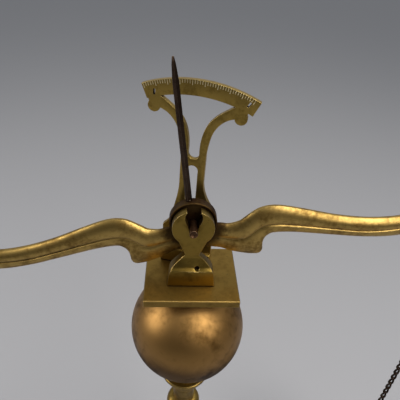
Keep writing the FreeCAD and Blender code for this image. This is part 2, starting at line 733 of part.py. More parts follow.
def make_arm():
    """Right arm: six-sided sections whose front and back ridges run the whole length."""
    upper = V(0, ARM_TOP_T / 2, 0)
    lower = V(0, ARM_LOW_T / 2, 0)
    sections = []
    for top, ridge, low in zip(arm_rail(0), arm_rail(1), arm_rail(2)):
        crest = V(0, ridge_half(ridge.x), 0)
        corners = [top - upper, ridge - crest, low - lower, low + lower, ridge + crest, top + upper]
        sections.append(Part.makePolygon(corners + corners[:1]))
    return Part.makeLoft(sections, True, True)


def make_beam():
    """Hub with a raised rim, two swan-neck arms and their end bosses."""
    hub = cylinder(HUB_R, HUB_T, V(0, -HUB_T / 2, 0), AXIS_Y)
    rim = cylinder(HUB_R, RIM_PROUD + SPLICE, V(0, -HUB_T / 2 - RIM_PROUD, 0), AXIS_Y)
    well = cylinder(HUB_R - RIM_W, RIM_PROUD, V(0, -HUB_T / 2 - RIM_PROUD, 0), AXIS_Y)
    arm = make_arm()
    boss = cylinder(END_BOSS_R, HUB_T, V(BEAM_HALF, -HUB_T / 2, 0), AXIS_Y)
    beam = merged([hub, rim.cut(well), arm, mirrored(arm), boss, mirrored(boss)])
    bores = [cylinder(PIN_R, 2 * HUB_T, V(0, -HUB_T, 0), AXIS_Y)]
    bores.append(cylinder(TANG_R + RUN, HUB_R, V(POINTER_X, 0, HUB_R - TANG_LEN), AXIS_Z))
    for side in SIDES.values():
        bores.append(cylinder(END_PIN_R, 2 * HUB_T, V(side * BEAM_HALF, -HUB_T, 0), AXIS_Y))
    return beam_placed(beam.cut(Part.makeCompound(bores)))


def make_centre_pin():
    pin = cylinder(PIN_R, PIN_FRONT + PIN_BACK, V(0, -PIN_FRONT, 0), AXIS_Y)
    dimple = Part.makeSphere(DIMPLE_R, V(0, -PIN_FRONT - DIMPLE_R + DIMPLE_DEPTH, 0))
    return beam_placed(pin.cut(dimple))


def make_end_pin(side):
    base = V(side * BEAM_HALF, -END_PIN_HALF, 0)
    return beam_placed(cylinder(END_PIN_R, 2 * END_PIN_HALF, base, AXIS_Y))


def diamond(width, thickness, z):
    sides = [V(width / 2, 0, z), V(0, -thickness / 2, z), V(-width / 2, 0, z), V(0, thickness / 2, z)]
    corners = [side + V(POINTER_X, 0, 0) for side in sides]
    return Part.makePolygon(corners + corners[:1])


def make_pointer():
    """Blade of flattened-diamond section on a round tang."""
    seat = HUB_R + RUN
    nib_t = (POINTER_T + POINTER_TIP_T) / 2
    blade = Part.makeLoft([
        diamond(POINTER_W, POINTER_T, seat),
        diamond(POINTER_TOP_W, POINTER_T, POINTER_SHOULDER),
        diamond(POINTER_NIB_W, nib_t, POINTER_NIB),
        diamond(POINTER_TIP_W, POINTER_TIP_T, POINTER_TIP),
    ], True, True)
    tang = cylinder(TANG_R, TANG_LEN, V(POINTER_X, 0, seat - TANG_LEN + TANG_LAP), AXIS_Z)
    return beam_placed(merged([blade, tang]))


# Hung pieces: each is drawn about its end pin and then moved to it


def hung_placed(shape, side):
    tilt = math.radians(BEAM_TILT)
    reach = side * BEAM_HALF
    shape.translate(V(reach * math.cos(tilt), BEAM_Y, FULCRUM_Z - reach * math.sin(tilt)))
    return shape


HOOK_TOP = -BRIDGE_DROP - TAB_HOLE_DROP - (TAB_HOLE_R - HOOK_WIRE_R - HANG)
HOOK_UPPER = HOOK_TOP - HOOK_R
HOOK_LOWER = HOOK_UPPER - 2 * HOOK_R
HOOK_BOTTOM = HOOK_LOWER - HOOK_R
RING_TOP = HOOK_BOTTOM + HOOK_WIRE_R + RING_WIRE_R + HANG
RING_Z = RING_TOP - RING_R
CHAIN_TOP = RING_Z - RING_R - RING_WIRE_R - HANG
CHAIN_END = CHAIN_TOP - MAIN_CHAIN
EYE_Z = CHAIN_END - HANG - RING_WIRE_R - SPREADER_EYE_R
SPREADER_TOP = EYE_Z - SPREADER_EYE_R - RING_WIRE_R + EYE_SINK
SPREADER_Z = SPREADER_TOP - SPREADER_T
RIM_UNDER = SPREADER_Z - CHAIN_DROP
RIM_RING_X = PAN_R - RIM_HOLE_INSET + RIM_RING_R
RIM_RING_Z = RIM_UNDER + RIM_RING_R - RIM_RING_WIRE_R - HANG


def make_stirrup(side):
    """Two straps with eyes, a bridge under the beam's end and a drilled tab."""
    inner = HUB_T / 2 + STRAP_GAP
    straps = []
    for face in (-inner - STRAP_T, inner):
        straps.append(cylinder(EYE_R, STRAP_T, V(0, face, 0), AXIS_Y))
        straps.append(Part.makeBox(STRAP_W, STRAP_T, BRIDGE_DROP, V(-STRAP_W / 2, face, -BRIDGE_DROP)))
    width = 2 * (inner + STRAP_T)
    bridge = Part.makeBox(STRAP_W, width, BRIDGE_T, V(-STRAP_W / 2, -width / 2, -BRIDGE_DROP))
    tab = Part.makeBox(TAB_T, TAB_W, TAB_H + SPLICE, V(-TAB_T / 2, -TAB_W / 2, -BRIDGE_DROP - TAB_H))
    body = merged(straps + [bridge, tab])
    eyes = cylinder(END_PIN_R + RUN, width, V(0, -width / 2, 0), AXIS_Y)
    hole = cylinder(TAB_HOLE_R, STRAP_W, V(-STRAP_W / 2, 0, -BRIDGE_DROP - TAB_HOLE_DROP), AXIS_X)
    return hung_placed(body.cut(eyes).cut(hole), side)


def make_hook(side):
    """S-hook in the plane of the beam."""
    sweep = 360 - HOOK_OPENING
    upper = Part.makeTorus(HOOK_R, HOOK_WIRE_R, V(0, 0, 0), AXIS_Z, -180, 180, sweep)
    upper.rotate(V(0, 0, 0), AXIS_X, 90)
    upper.rotate(V(0, 0, 0), AXIS_Y, 90)
    lower = upper.copy()
    lower.rotate(V(0, 0, 0), AXIS_Y, 180)
    upper.translate(V(0, 0, HOOK_UPPER))
    lower.translate(V(0, 0, HOOK_LOWER))
    return hung_placed(merged([upper, lower]), side)


def make_top_ring(side):
    return hung_placed(torus(RING_R, RING_WIRE_R, V(0, 0, RING_Z), AXIS_X), side)


def make_main_chain(side):
    return hung_placed(cylinder(CHAIN_R, MAIN_CHAIN, V(0, 0, CHAIN_END), AXIS_Z), side)


def fan_angles():
    """Directions of the three lower chains, one to the back."""
    return [math.radians(90 + 360 * k / CHAINS_PER_PAN) for k in range(CHAINS_PER_PAN)]


def around(shape, angle):
    copy = shape.copy()
    copy.rotate(V(0, 0, 0), AXIS_Z, math.degrees(angle))
    return copy


def make_spreader(side):
    """Disc with an eye on top and a hole for each lower chain."""
    disc = cylinder(SPREADER_R, SPREADER_T, V(0, 0, SPREADER_Z), AXIS_Z)
    eye = torus(SPREADER_EYE_R, RING_WIRE_R, V(0, 0, EYE_Z), AXIS_Y)
    body = merged([disc, eye])
    hole = cylinder(SPREADER_HOLE_R, SPREADER_T, V(SPREADER_PCR, 0, SPREADER_Z), AXIS_Z)
    return hung_placed(body.cut(Part.makeCompound([around(hole, a) for a in fan_angles()])), side)


def make_lower_chain(side, angle):
    start = V(SPREADER_PCR, 0, SPREADER_Z - HANG)
    end = V(RIM_RING_X, 0, RIM_RING_Z + RIM_RING_R + RIM_RING_WIRE_R + HANG)
    run = end - start
    lead = LOWER_CHAIN_R * run.x / run.Length
    base = start + run * (lead / run.Length)
    chain = cylinder(LOWER_CHAIN_R, run.Length - 2 * lead, base, run)
    return hung_placed(around(chain, angle), side)


def make_rim_rings(side):
    """Three identical rings that hold the pan's rim."""
    ring = torus(RIM_RING_R, RIM_RING_WIRE_R, V(RIM_RING_X, 0, RIM_RING_Z), AXIS_Y)
    return hung_placed(Part.makeCompound([around(ring, a) for a in fan_angles()]), side)


def make_pan(side):
    """Shallow dish with a flat rim."""
    floor = RIM_UNDER + PAN_WALL - PAN_DEPTH
    lip = PAN_R - RIM_FLAT
    dish = turned([
        (0, floor - PAN_WALL, 0),
        (PAN_FLOOR_R, floor - PAN_WALL, 0),
        (lip, RIM_UNDER, PAN_BOW),
        (PAN_R, RIM_UNDER, 0),
        (PAN_R, RIM_UNDER + PAN_WALL, PAN_WALL / 2),
        (lip - PAN_WALL / 2, RIM_UNDER + PAN_WALL, 0),
        (PAN_FLOOR_R, floor, -PAN_BOW),
        (0, floor, 0),
    ])
    spot = V(PAN_R - RIM_HOLE_INSET, 0, RIM_UNDER - PAN_WALL / 2)
    hole = cylinder(RIM_HOLE_R, 2 * PAN_WALL, spot, AXIS_Z)
    return hung_placed(dish.cut(Part.makeCompound([around(hole, a) for a in fan_angles()])), side)


def build_nodes():
    nodes = {
        "base_pad": make_base_pad(),
        "base_foot": make_base_foot(),
        "lower_knop": make_lower_knop(),
        "column_shaft": make_column_shaft(),
        "column_neck": make_column_neck(),
        "ball_cup": make_ball_cup(),
        "ball": make_ball(),
        "ball_collar": make_ball_collar(),
        "head_plate": make_head_plate(),
        "tie_rod": make_tie_rod(),
        "tie_washer": make_tie_washer(),
        "tie_nut": make_tie_nut(),
        "front_bearing": make_front_bearing(),
        "lyre_frame": make_lyre_frame(),
        "bearing_screws": make_bearing_screws(),
        "beam": make_beam(),
        "centre_pin": make_centre_pin(),
        "pointer": make_pointer(),
    }
    for name, side in SIDES.items():
        nodes[name + "_end_pin"] = make_end_pin(side)
        nodes[name + "_stirrup"] = make_stirrup(side)
        nodes[name + "_hook"] = make_hook(side)
        nodes[name + "_top_ring"] = make_top_ring(side)
        nodes[name + "_main_chain"] = make_main_chain(side)
        nodes[name + "_spreader"] = make_spreader(side)
        for number, angle in enumerate(fan_angles(), 1):
            nodes["%s_lower_chain_%d" % (name, number)] = make_lower_chain(side, angle)
        nodes[name + "_rim_rings"] = make_rim_rings(side)
        nodes[name + "_pan"] = make_pan(side)
    return nodes


def main():
    os.makedirs("parts", exist_ok=True)
    for name, shape in build_nodes().items():
        if not shape.isValid():
            print("not valid:", name)
        print("%-20s solids %d volume %.1f" % (name, len(shape.Solids), shape.Volume))
        shape.exportStep(os.path.join("parts", name + ".step"))


main()
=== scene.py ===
"""Looks of the brass beam scale, built round its fixed frame. Metres, +Z up, +X to the right."""

import logging
import math
from dataclasses import dataclass, field, replace
from enum import Enum
from typing import Any, Callable

import bmesh
import bpy
from mathutils import Matrix, Vector


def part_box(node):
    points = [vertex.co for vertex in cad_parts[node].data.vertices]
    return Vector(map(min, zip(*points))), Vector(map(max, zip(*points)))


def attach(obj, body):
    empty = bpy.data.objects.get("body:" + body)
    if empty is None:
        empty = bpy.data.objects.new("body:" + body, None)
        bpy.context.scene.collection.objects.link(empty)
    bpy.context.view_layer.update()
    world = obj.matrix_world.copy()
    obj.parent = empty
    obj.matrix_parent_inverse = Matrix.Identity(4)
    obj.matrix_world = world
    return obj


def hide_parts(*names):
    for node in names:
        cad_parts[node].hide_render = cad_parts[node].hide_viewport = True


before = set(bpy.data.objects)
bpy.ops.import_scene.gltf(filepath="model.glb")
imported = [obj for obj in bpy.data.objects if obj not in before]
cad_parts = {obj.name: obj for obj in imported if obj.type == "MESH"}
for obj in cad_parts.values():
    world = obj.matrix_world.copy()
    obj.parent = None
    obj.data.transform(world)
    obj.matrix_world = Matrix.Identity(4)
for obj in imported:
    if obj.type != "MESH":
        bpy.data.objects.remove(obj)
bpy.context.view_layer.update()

MM = 0.001
FULL_TURN = 2 * math.pi
Colour = tuple[float, float, float]
Pair = tuple[float, float]
log = logging.getLogger("scale")


class Side(Enum):
    """The two ends of the beam."""

    LEFT = -1
    RIGHT = 1

    @property
    def word(self) -> str:
        """The side's name as it stands in body and node names."""
        return self.name.lower()


class Grain(Enum):
    """Which way the tool marks on a metal face run."""

    CAST = "cast"
    ALONG_X = "along x"
    TURNED = "turned"


# Node trees


def operator(operation: str, swapped: bool = False) -> Callable[["Term", Any], "Term"]:
    """Makes one of Term's operators.

    Args:
        operation: the Math node's operation.
        swapped: whether the other value stands before the term.

    Returns:
        The method.
    """
    def combine(term: "Term", other: Any) -> "Term":
        """Adds the Math node."""
        return term.calculated(operation, *((other, term) if swapped else (term, other)))
    return combine


class Term:
    """A value that changes over a surface; arithmetic on it adds Math nodes to its tree."""

    def __init__(self, graph: "Graph", socket: bpy.types.NodeSocket) -> None:
        """Wraps one output socket."""
        self.graph = graph
        self.socket = socket

    def calculated(self, operation: str, first: Any, second: Any = None,
                   clamp: bool = False) -> "Term":
        """Adds one Math node.

        Args:
            operation: the Math node's operation.
            first: a number or a term.
            second: a number or a term, where the operation takes two.
            clamp: whether the result stays between 0 and 1.

        Returns:
            The node's result.
        """
        values = {0: first} if second is None else {0: first, 1: second}
        return self.graph.node("ShaderNodeMath", {"operation": operation, "use_clamp": clamp}, values)

    __add__ = operator("ADD")
    __radd__ = operator("ADD", swapped=True)
    __sub__ = operator("SUBTRACT")
    __rsub__ = operator("SUBTRACT", swapped=True)
    __mul__ = operator("MULTIPLY")
    __rmul__ = operator("MULTIPLY", swapped=True)
    __truediv__ = operator("DIVIDE")
    __mod__ = operator("MODULO")
    __lt__ = operator("LESS_THAN")

    def sin(self) -> "Term":
        """Sine of an angle in radians."""
        return self.calculated("SINE", self)

    def cos(self) -> "Term":
        """Cosine of an angle in radians."""
        return self.calculated("COSINE", self)

    def clamped(self) -> "Term":
        """The value held between 0 and 1."""
        return self.calculated("ADD", self, 0.0, clamp=True)

    def between(self, low: float, high: float) -> "Term":
        """0 at low, 1 at high, eased between and held outside."""
        return self.graph.node("ShaderNodeMapRange", {"interpolation_type": "SMOOTHSTEP"},
                               {"Value": self, "From Min": low, "From Max": high})


class Graph:
    """A node tree that is filled by one method."""

    def __init__(self, tree: bpy.types.NodeTree) -> None:
        """Takes an empty tree."""
        self.tree = tree

    @staticmethod
    def socket(sockets: Any, key: str | int) -> bpy.types.NodeSocket:
        """Finds a socket.

        Args:
            sockets: a node's inputs or outputs.
            key: the socket's place, its identifier or its name.

        Returns:
            The socket.
        """
        if isinstance(key, int):
            return sockets[key]
        for candidate in sockets:
            if candidate.identifier == key:
                return candidate
        return sockets[key]

    def node(self, kind: str, settings: dict | None = None, values: dict | None = None,
             output: str | int = 0) -> Term:
        """Adds a node.

        Args:
            kind: the node's type.
            settings: its properties.
            values: a number, a vector or a term for each input socket.
            output: which output the result wraps.

        Returns:
            The chosen output.
        """
        made = self.tree.nodes.new(kind)
        for name, value in (settings or {}).items():
            setattr(made, name, value)
        for key, value in (values or {}).items():
            target = self.socket(made.inputs, key)
            if isinstance(value, Term):
                self.tree.links.new(value.socket, target)
            else:
                target.default_value = value
        return Term(self, self.socket(made.outputs, output)) if made.outputs else Term(self, None)

    def mix(self, share: Any, first: Any, second: Any) -> Term:
        """Blends two colours: first where share is 0, second where it is 1."""
        values = {"Factor_Float": share, "A_Color": self.opaque(first), "B_Color": self.opaque(second)}
        return self.node("ShaderNodeMix", {"data_type": "RGBA"}, values, "Result_Color")

    @staticmethod
    def opaque(colour: Any) -> Any:
        """Adds full alpha to a plain colour."""
        return colour if isinstance(colour, Term) else (*colour, 1.0)

    def noise(self, place: Term, size: float, detail: float = 4.0, rough: float = 0.55,
              warp: float = 0.0) -> Term:
        """Cloudy noise whose blobs measure about size metres."""
        values = {"Vector": place, "Scale": 1 / size, "Detail": detail, "Roughness": rough,
                  "Distortion": warp}
        return self.node("ShaderNodeTexNoise", {}, values, "Fac")

    def along(self, place: Term, axis: str) -> Term:
        """One coordinate of a place."""
        return self.node("ShaderNodeSeparateXYZ", {}, {"Vector": place}, axis)

    def vector(self, **parts: Any) -> Term:
        """A vector from its X, Y and Z; those left out are 0."""
        return self.node("ShaderNodeCombineXYZ", {}, parts)

    def measured(self, operation: str, *vectors: Any) -> Term:
        """A number worked out from one or two vectors."""
        values = dict(enumerate(vectors))
        return self.node("ShaderNodeVectorMath", {"operation": operation}, values, "Value")

    def stretched(self, place: Term, scale: Colour, centre: Vector = Vector()) -> Term:
        """Object coordinates about a centre, scaled along each axis."""
        moved = self.node("ShaderNodeMapping", {"vector_type": "POINT"},
                          {"Vector": place, "Location": -centre})
        return self.node("ShaderNodeMapping", {}, {"Vector": moved, "Scale": scale})


class SurfaceGraph(Graph):
    """A material's tree, ending in one Principled surface."""

    def __init__(self, name: str) -> None:
        """Makes the material."""
        self.material = bpy.data.materials.new(name)
        self.material.use_nodes = True
        super().__init__(self.material.node_tree)
        self.tree.nodes.clear()
        self.place = self.node("ShaderNodeTexCoord", output="Object")

    def finish(self, values: dict) -> bpy.types.Material:
        """Adds the Principled surface with these values and ends the tree."""
        surface = self.node("ShaderNodeBsdfPrincipled", {}, values)
        self.node("ShaderNodeOutputMaterial", {}, {"Surface": surface})
        return self.material

    def rubbed_edges(self, width: float, gain: float) -> tuple[Term, Term]:
        """Finds outer and inner edges.

        Args:
            width: how far the softening reaches, in metres.
            gain: how fast the mask fills.

        Returns:
            The softened normal, and a mask that is 1 on edges.
        """
        soft = self.node("ShaderNodeBevel", {"samples": 6}, {"Radius": width})
        true = self.node("ShaderNodeNewGeometry", {}, {}, "Normal")
        return soft, ((1 - self.measured("DOT_PRODUCT", soft, true)) * gain).clamped()

    def crevices(self, reach: float, start: float, full: float) -> Term:
        """Finds corners and gaps.

        Args:
            reach: how wide a gap still counts, in metres.
            start: share of closed sky at which the mask begins.
            full: share of closed sky at which it is 1.

        Returns:
            The mask.
        """
        open_sky = self.node("ShaderNodeAmbientOcclusion", {"samples": 8}, {"Distance": reach}, "AO")
        return (1 - open_sky).between(start, full)


# Finishes


@dataclass(frozen=True)
class Ageing:
    """How tarnish, painted shade, spots, worn edges and painted highlight spread on every metal.

    Attributes:
        brush: width of the brushed lines, and their width against their length.
        lathe: pitch of the turned lines, and how much height counts against radius.
        sand: size of a casting's grain.
        wisps: how many times smaller the wisps are than the clouds.
        specks: how many times smaller the spots are than the clouds.
        cloud_share: the clouds' part in the tarnish, the rest being wisps.
        film_levels: noise at which the tarnish begins and is full, where cover is 0.
        film_slope: how far cover lowers those levels.
        open_film, hollow_tarnish_and_shade, mark_film, low_film: strength of the tarnish on open faces,
        of the tarnish and painted shade in hollows, of the tarnish on tool marks and of the painted
        shade under shaded_below.
        shade_fade: height over which the painted shade under shaded_below comes in.
        shade_wander: how unevenly its upper edge runs.
        hollow: reach, beginning and full level of the hollows, where painted shade and tarnish lie.
        crease: the same for the painted shade in narrow creases.
        soil_ring: where the painted shade round a joint begins to fade and ends, in ring radii.
        soil_wander: how unevenly that ring runs, in ring radii.
        soil_depth: strength of the painted shade round a joint.
        spot_levels: noise at which a spot begins and is full, where stain_cover is 0.
        spot_slope: how far stain_cover lowers those levels.
        spot_depth: strength of the spots.
        wear_and_glint_gain: how fast the worn, partly painted highlight band on an edge fills.
        wear_and_glint_levels: that band's strength where there are no wisps, and what full wisps add.
        hollow_shade, crease_shade: strength of the painted shade in hollows and creases.
        film_rough, spot_rough, shade_rough, wear_polish: what each adds to or takes off the
            roughness.
        wisp_height, spot_height: relief of wisps and spots against the tool marks.
    """

    brush: Pair = (0.35 * MM, 0.03)
    lathe: Pair = (1.1 * MM, 0.83)
    sand: float = 0.9 * MM
    wisps: float = 6
    specks: float = 11
    cloud_share: float = 0.65
    film_levels: Pair = (0.62, 0.86)
    film_slope: float = 0.45
    open_film: float = 0.75
    hollow_tarnish_and_shade: float = 0.5
    mark_film: float = 0.12
    low_film: float = 0.8
    shade_fade: float = 14 * MM
    shade_wander: float = 20 * MM
    hollow: tuple[float, float, float] = (8 * MM, 0.42, 0.78)
    crease: tuple[float, float, float] = (1.4 * MM, 0.18, 0.55)
    soil_ring: Pair = (1.15, 1.75)
    soil_wander: float = 0.8
    soil_depth: float = 0.95
    spot_levels: Pair = (0.78, 0.84)
    spot_slope: float = 0.5
    spot_depth: float = 0.7
    wear_and_glint_gain: float = 5.0
    wear_and_glint_levels: Pair = (0.35, 0.9)
    hollow_shade: float = 0.88
    crease_shade: float = 0.85
    film_rough: float = 0.1
    spot_rough: float = 0.15
    shade_rough: float = 0.2
    wear_polish: float = 0.08
    wisp_height: float = 0.6
    spot_height: float = 0.8


AGED = Ageing()


@dataclass(frozen=True)
class Metal:
    """A metal with tarnish, painted shade in its hollows and bright worn edges that are partly painted
    highlight.

    Attributes:
        name: material name.
        body: colour of the bare metal.
        rubbed: colour on worn edges, partly painted highlight.
        film: colour of the tarnish, also laid on as painted shade.
        cover: how much of the open surface the tarnish takes.
        polish: lowest and highest roughness.
        cloud: size of the tarnish clouds.
        grain: tool marks.
        grain_depth: depth of the tool marks.
        edge: width of the softened edge band, worn and partly painted highlight.
        stain: colour of the small spots.
        shade_tone: colour of the painted shade in gaps and creases.
        stain_cover: how much of the surface the spots take.
        centre: axis of the turned marks, or the joint that the painted shade rings round.
        soil: radius of the painted shade round the centre.
        shaded_below: height under which the tarnish colour is laid on thickly as painted shade.
    """

    name: str
    body: Colour
    rubbed: Colour
    film: Colour
    cover: float = 0.35
    polish: tuple[float, float] = (0.24, 0.42)
    cloud: float = 16 * MM
    grain: Grain = Grain.CAST
    grain_depth: float = 0.012 * MM
    edge: float = 0.5 * MM
    stain: Colour = (0.05, 0.035, 0.012)
    shade_tone: Colour = (0.019, 0.008, 0.005)
    stain_cover: float = 0.1
    centre: Vector = field(default_factory=Vector)
    soil: float = 0.0
    shaded_below: float = 0.0

    def _marks(self, graph: SurfaceGraph) -> Term:
        """Height of the tool marks.

        Args:
            graph: the material's tree.

        Returns:
            The height, from 0 to 1.
        """
        if self.grain is Grain.ALONG_X:
            width, slimness = AGED.brush
            return graph.noise(graph.stretched(graph.place, (slimness, 1.0, 1.0)), width, detail=3.0)
        if self.grain is Grain.TURNED:
            pitch, climb = AGED.lathe
            about = graph.stretched(graph.place, (1.0, 1.0, 0.0), self.centre)
            radius = graph.measured("LENGTH", about)
            rings = (radius + graph.along(graph.place, "Z") * climb) / pitch
            return graph.node("ShaderNodeTexNoise", {"noise_dimensions": "1D"},
                              {"W": rings, "Scale": 1.0, "Detail": 3.0}, "Fac")
        return graph.noise(graph.place, AGED.sand, detail=5.0, rough=0.62)

    def _hollow(self, graph: SurfaceGraph, wisps: Term) -> Term:
        """Finds the hollows, and the ring of painted shade round the centre.

        Args:
            graph: the material's tree.
            wisps: the fine noise, which makes the ring's edge uneven.

        Returns:
            The mask.
        """
        hollow = graph.crevices(*AGED.hollow)
        if not self.soil:
            return hollow
        # Painted shade: a dark ring round the joint, for the shade round the hub.
        away = graph.measured("DISTANCE", graph.place, self.centre)
        uneven = away + (wisps - 0.5) * (self.soil * AGED.soil_wander)
        near = 1 - uneven.between(*(self.soil * radii for radii in AGED.soil_ring))
        return (hollow + near * AGED.soil_depth).clamped()

    def _film(self, graph: SurfaceGraph, clouds: Term, wisps: Term, marks: Term, hollow: Term) -> Term:
        """How thick the tarnish is, with painted shade added in hollows, and round the joint and under
        shaded_below where they are set.

        Args:
            graph: the material's tree.
            clouds: the broad noise.
            wisps: the fine noise.
            marks: the tool marks.
            hollow: the hollows.

        Returns:
            The share of the tarnish colour, painted shade included.
        """
        patches = clouds * AGED.cloud_share + wisps * (1 - AGED.cloud_share)
        levels = (level - self.cover * AGED.film_slope for level in AGED.film_levels)
        film = (patches.between(*levels) * AGED.open_film + hollow * AGED.hollow_tarnish_and_shade
                + (marks - 0.5) * AGED.mark_film)
        # Painted shade: below shaded_below the tarnish colour thickens, for the darker underside.
        if self.shaded_below:
            level = graph.along(graph.place, "Z") + (clouds - 0.5) * AGED.shade_wander
            bright = level.between(self.shaded_below - AGED.shade_fade, self.shaded_below)
            film = film + (1 - bright) * AGED.low_film
        return film.clamped()

    def make(self) -> bpy.types.Material:
        """Builds the material."""
        graph = SurfaceGraph(self.name)
        clouds = graph.noise(graph.place, self.cloud, detail=5.0, rough=0.6, warp=0.5)
        wisps = graph.noise(graph.place, self.cloud / AGED.wisps, warp=0.3)
        specks = graph.noise(graph.place, self.cloud / AGED.specks, detail=2.0, rough=0.5)
        marks = self._marks(graph)
        soft_normal, edges = graph.rubbed_edges(self.edge, AGED.wear_and_glint_gain)
        hollow = self._hollow(graph, wisps)
        crease = graph.crevices(*AGED.crease)
        film = self._film(graph, clouds, wisps, marks, hollow)
        levels = (level - self.stain_cover * AGED.spot_slope for level in AGED.spot_levels)
        spots = specks.between(*levels) * AGED.spot_depth
        least, more = AGED.wear_and_glint_levels
        # Worn edges, partly painted highlight: bright bands on edges outside hollows and creases.
        wear_and_glint = (edges * (least + wisps * more) * (1 - hollow) * (1 - crease)).clamped()
        # Painted shade: darker in hollows, in narrow creases and in the ring round the joint.
        painted_shade = (hollow * AGED.hollow_shade + crease * AGED.crease_shade).clamped()
        # Tarnish colour, which also lays painted shade in hollows, round the joint and under
        # shaded_below.
        colour = graph.mix(film, self.body, self.film)
        colour = graph.mix(spots, colour, self.stain)
        # Worn edges in a lighter colour, partly painted highlight.
        colour = graph.mix(wear_and_glint, colour, self.rubbed)
        # The painted shade's dark colour over the hollows and creases.
        colour = graph.mix(painted_shade, colour, self.shade_tone)
        low, high = self.polish
        rough = low + (high - low) * (clouds * 0.5 + wisps * 0.5)
        rough = rough + film * AGED.film_rough + spots * AGED.spot_rough + painted_shade * AGED.shade_rough
        rough = (rough - wear_and_glint * AGED.wear_polish).clamped()
        relief = marks + wisps * AGED.wisp_height - spots * AGED.spot_height
        normal = graph.node("ShaderNodeBump", {}, {"Height": relief, "Distance": self.grain_depth,
                                                   "Strength": 1.0, "Normal": soft_normal})
        return graph.finish({"Base Color": colour, "Metallic": 1.0, "Roughness": rough,
                             "Normal": normal})


@dataclass(frozen=True)
class Felt:
    """Pressed wool under the base."""

    name: str = "green_felt"
    light: Colour = (0.035, 0.075, 0.045)
    dark: Colour = (0.012, 0.03, 0.018)
    fibre: float = 0.8 * MM
    patch: float = 12 * MM
    fibre_share: float = 0.7
    nap: float = 0.3 * MM

    def make(self) -> bpy.types.Material:
        """Builds the material."""
        graph = SurfaceGraph(self.name)
        fibre = graph.noise(graph.place, self.fibre, detail=6.0, rough=0.7, warp=1.2)
        patch = graph.noise(graph.place, self.patch)
        share = fibre * self.fibre_share + patch * (1 - self.fibre_share)
        colour = graph.mix(share.between(0.3, 0.7), self.dark, self.light)
        normal = graph.node("ShaderNodeBump", {}, {"Height": fibre, "Distance": self.nap})
        return graph.finish({"Base Color": colour, "Roughness": 0.95, "Normal": normal,
                             "Sheen Weight": 0.4})


@dataclass(frozen=True)
class FloorPaint:
    """Plain pale floor."""

    name: str = "pale_floor"
    tone: Colour = (0.30, 0.305, 0.32)
    fleck: Colour = (0.25, 0.255, 0.27)
    fleck_share: float = 0.06
    fleck_size: float = 3 * MM

    def make(self) -> bpy.types.Material:
        """Builds the material."""
        graph = SurfaceGraph(self.name)
        grain = graph.noise(graph.place, self.fleck_size, detail=3.0)
        colour = graph.mix(grain * self.fleck_share, self.tone, self.fleck)
        return graph.finish({"Base Color": colour, "Roughness": 0.85})


OLIVE_BRASS = Metal("olive_brass", body=(0.22, 0.145, 0.03), rubbed=(0.76, 0.57, 0.25),
                    film=(0.085, 0.05, 0.008), cover=0.36, polish=(0.26, 0.42),
                    grain=Grain.ALONG_X)
BEAM_BRASS = Metal("beam_brass", body=(0.40, 0.27, 0.08), rubbed=(0.85, 0.64, 0.29),
                   film=(0.10, 0.05, 0.008), cover=0.46, polish=(0.3, 0.44), cloud=14 * MM,
                   edge=0.35 * MM)
LYRE_BRASS = Metal("lyre_brass", body=(0.34, 0.23, 0.055), rubbed=(0.70, 0.53, 0.23),
                   film=(0.14, 0.09, 0.018), cover=0.36, polish=(0.3, 0.46), cloud=9 * MM,
                   edge=0.2 * MM)
PLATE_BRASS = Metal("plate_brass", body=(0.22, 0.138, 0.032), rubbed=(0.62, 0.45, 0.2),
                    film=(0.10, 0.058, 0.012), cover=0.42, polish=(0.32, 0.48), cloud=18 * MM,
                    grain=Grain.ALONG_X, stain=(0.02, 0.035, 0.015), stain_cover=0.16)
BALL_BRASS = Metal("ball_brass", body=(0.28, 0.158, 0.05), rubbed=(0.55, 0.36, 0.15),
                   film=(0.038, 0.015, 0.001), cover=0.36, polish=(0.38, 0.48), cloud=28 * MM,
                   grain_depth=0.005 * MM, stain_cover=0.05)
TURNED_BRASS = Metal("turned_brass", body=(0.25, 0.165, 0.04), rubbed=(0.66, 0.48, 0.2),
                     film=(0.09, 0.05, 0.009), cover=0.4, grain=Grain.TURNED,
                     grain_depth=0.02 * MM, polish=(0.3, 0.46))
DARK_STEEL = Metal("dark_steel", body=(0.055, 0.035, 0.024), rubbed=(0.36, 0.29, 0.20),
                   film=(0.014, 0.008, 0.006), cover=0.5, polish=(0.22, 0.4), cloud=7 * MM,
                   edge=0.2 * MM)
PIN_BRONZE = Metal("pin_bronze", body=(0.12, 0.065, 0.035), rubbed=(0.42, 0.28, 0.17),
                   film=(0.035, 0.015, 0.008), cover=0.45, polish=(0.3, 0.5), cloud=5 * MM,
                   edge=0.25 * MM)
PLAIN_STEEL = Metal("plain_steel", body=(0.42, 0.41, 0.39), rubbed=(0.7, 0.69, 0.66),
                    film=(0.18, 0.14, 0.10), cover=0.25, cloud=6 * MM, edge=0.25 * MM)
CHAIN_STEEL = Metal("chain_steel", body=(0.05, 0.033, 0.022), rubbed=(0.2, 0.15, 0.11),
                    film=(0.012, 0.007, 0.005), cover=0.5, polish=(0.3, 0.48), cloud=5 * MM,
                    edge=0.2 * MM)
TICK_BRASS = Metal("tick_brass", body=(0.85, 0.70, 0.38), rubbed=(0.9, 0.78, 0.46),
                   film=(0.55, 0.42, 0.18), cover=0.15, cloud=4 * MM, edge=0.1 * MM)


# Meshes

SOFT_CREASE = 32      # degrees: sharper edges stay sharp
CAST_CREASE = 34
EASED_CREASE = 40
TURNED_CREASE = 50


def middle(node: str) -> Vector:
    """Middle of a frame node's box."""
    low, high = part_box(node)
    return (low + high) / 2


def linked(name: str, data: bpy.types.ID) -> bpy.types.Object:
    """Puts a mesh, light or camera in the scene as an object at the origin."""
    made = bpy.data.objects.new(name, data)
    bpy.context.scene.collection.objects.link(made)
    return made


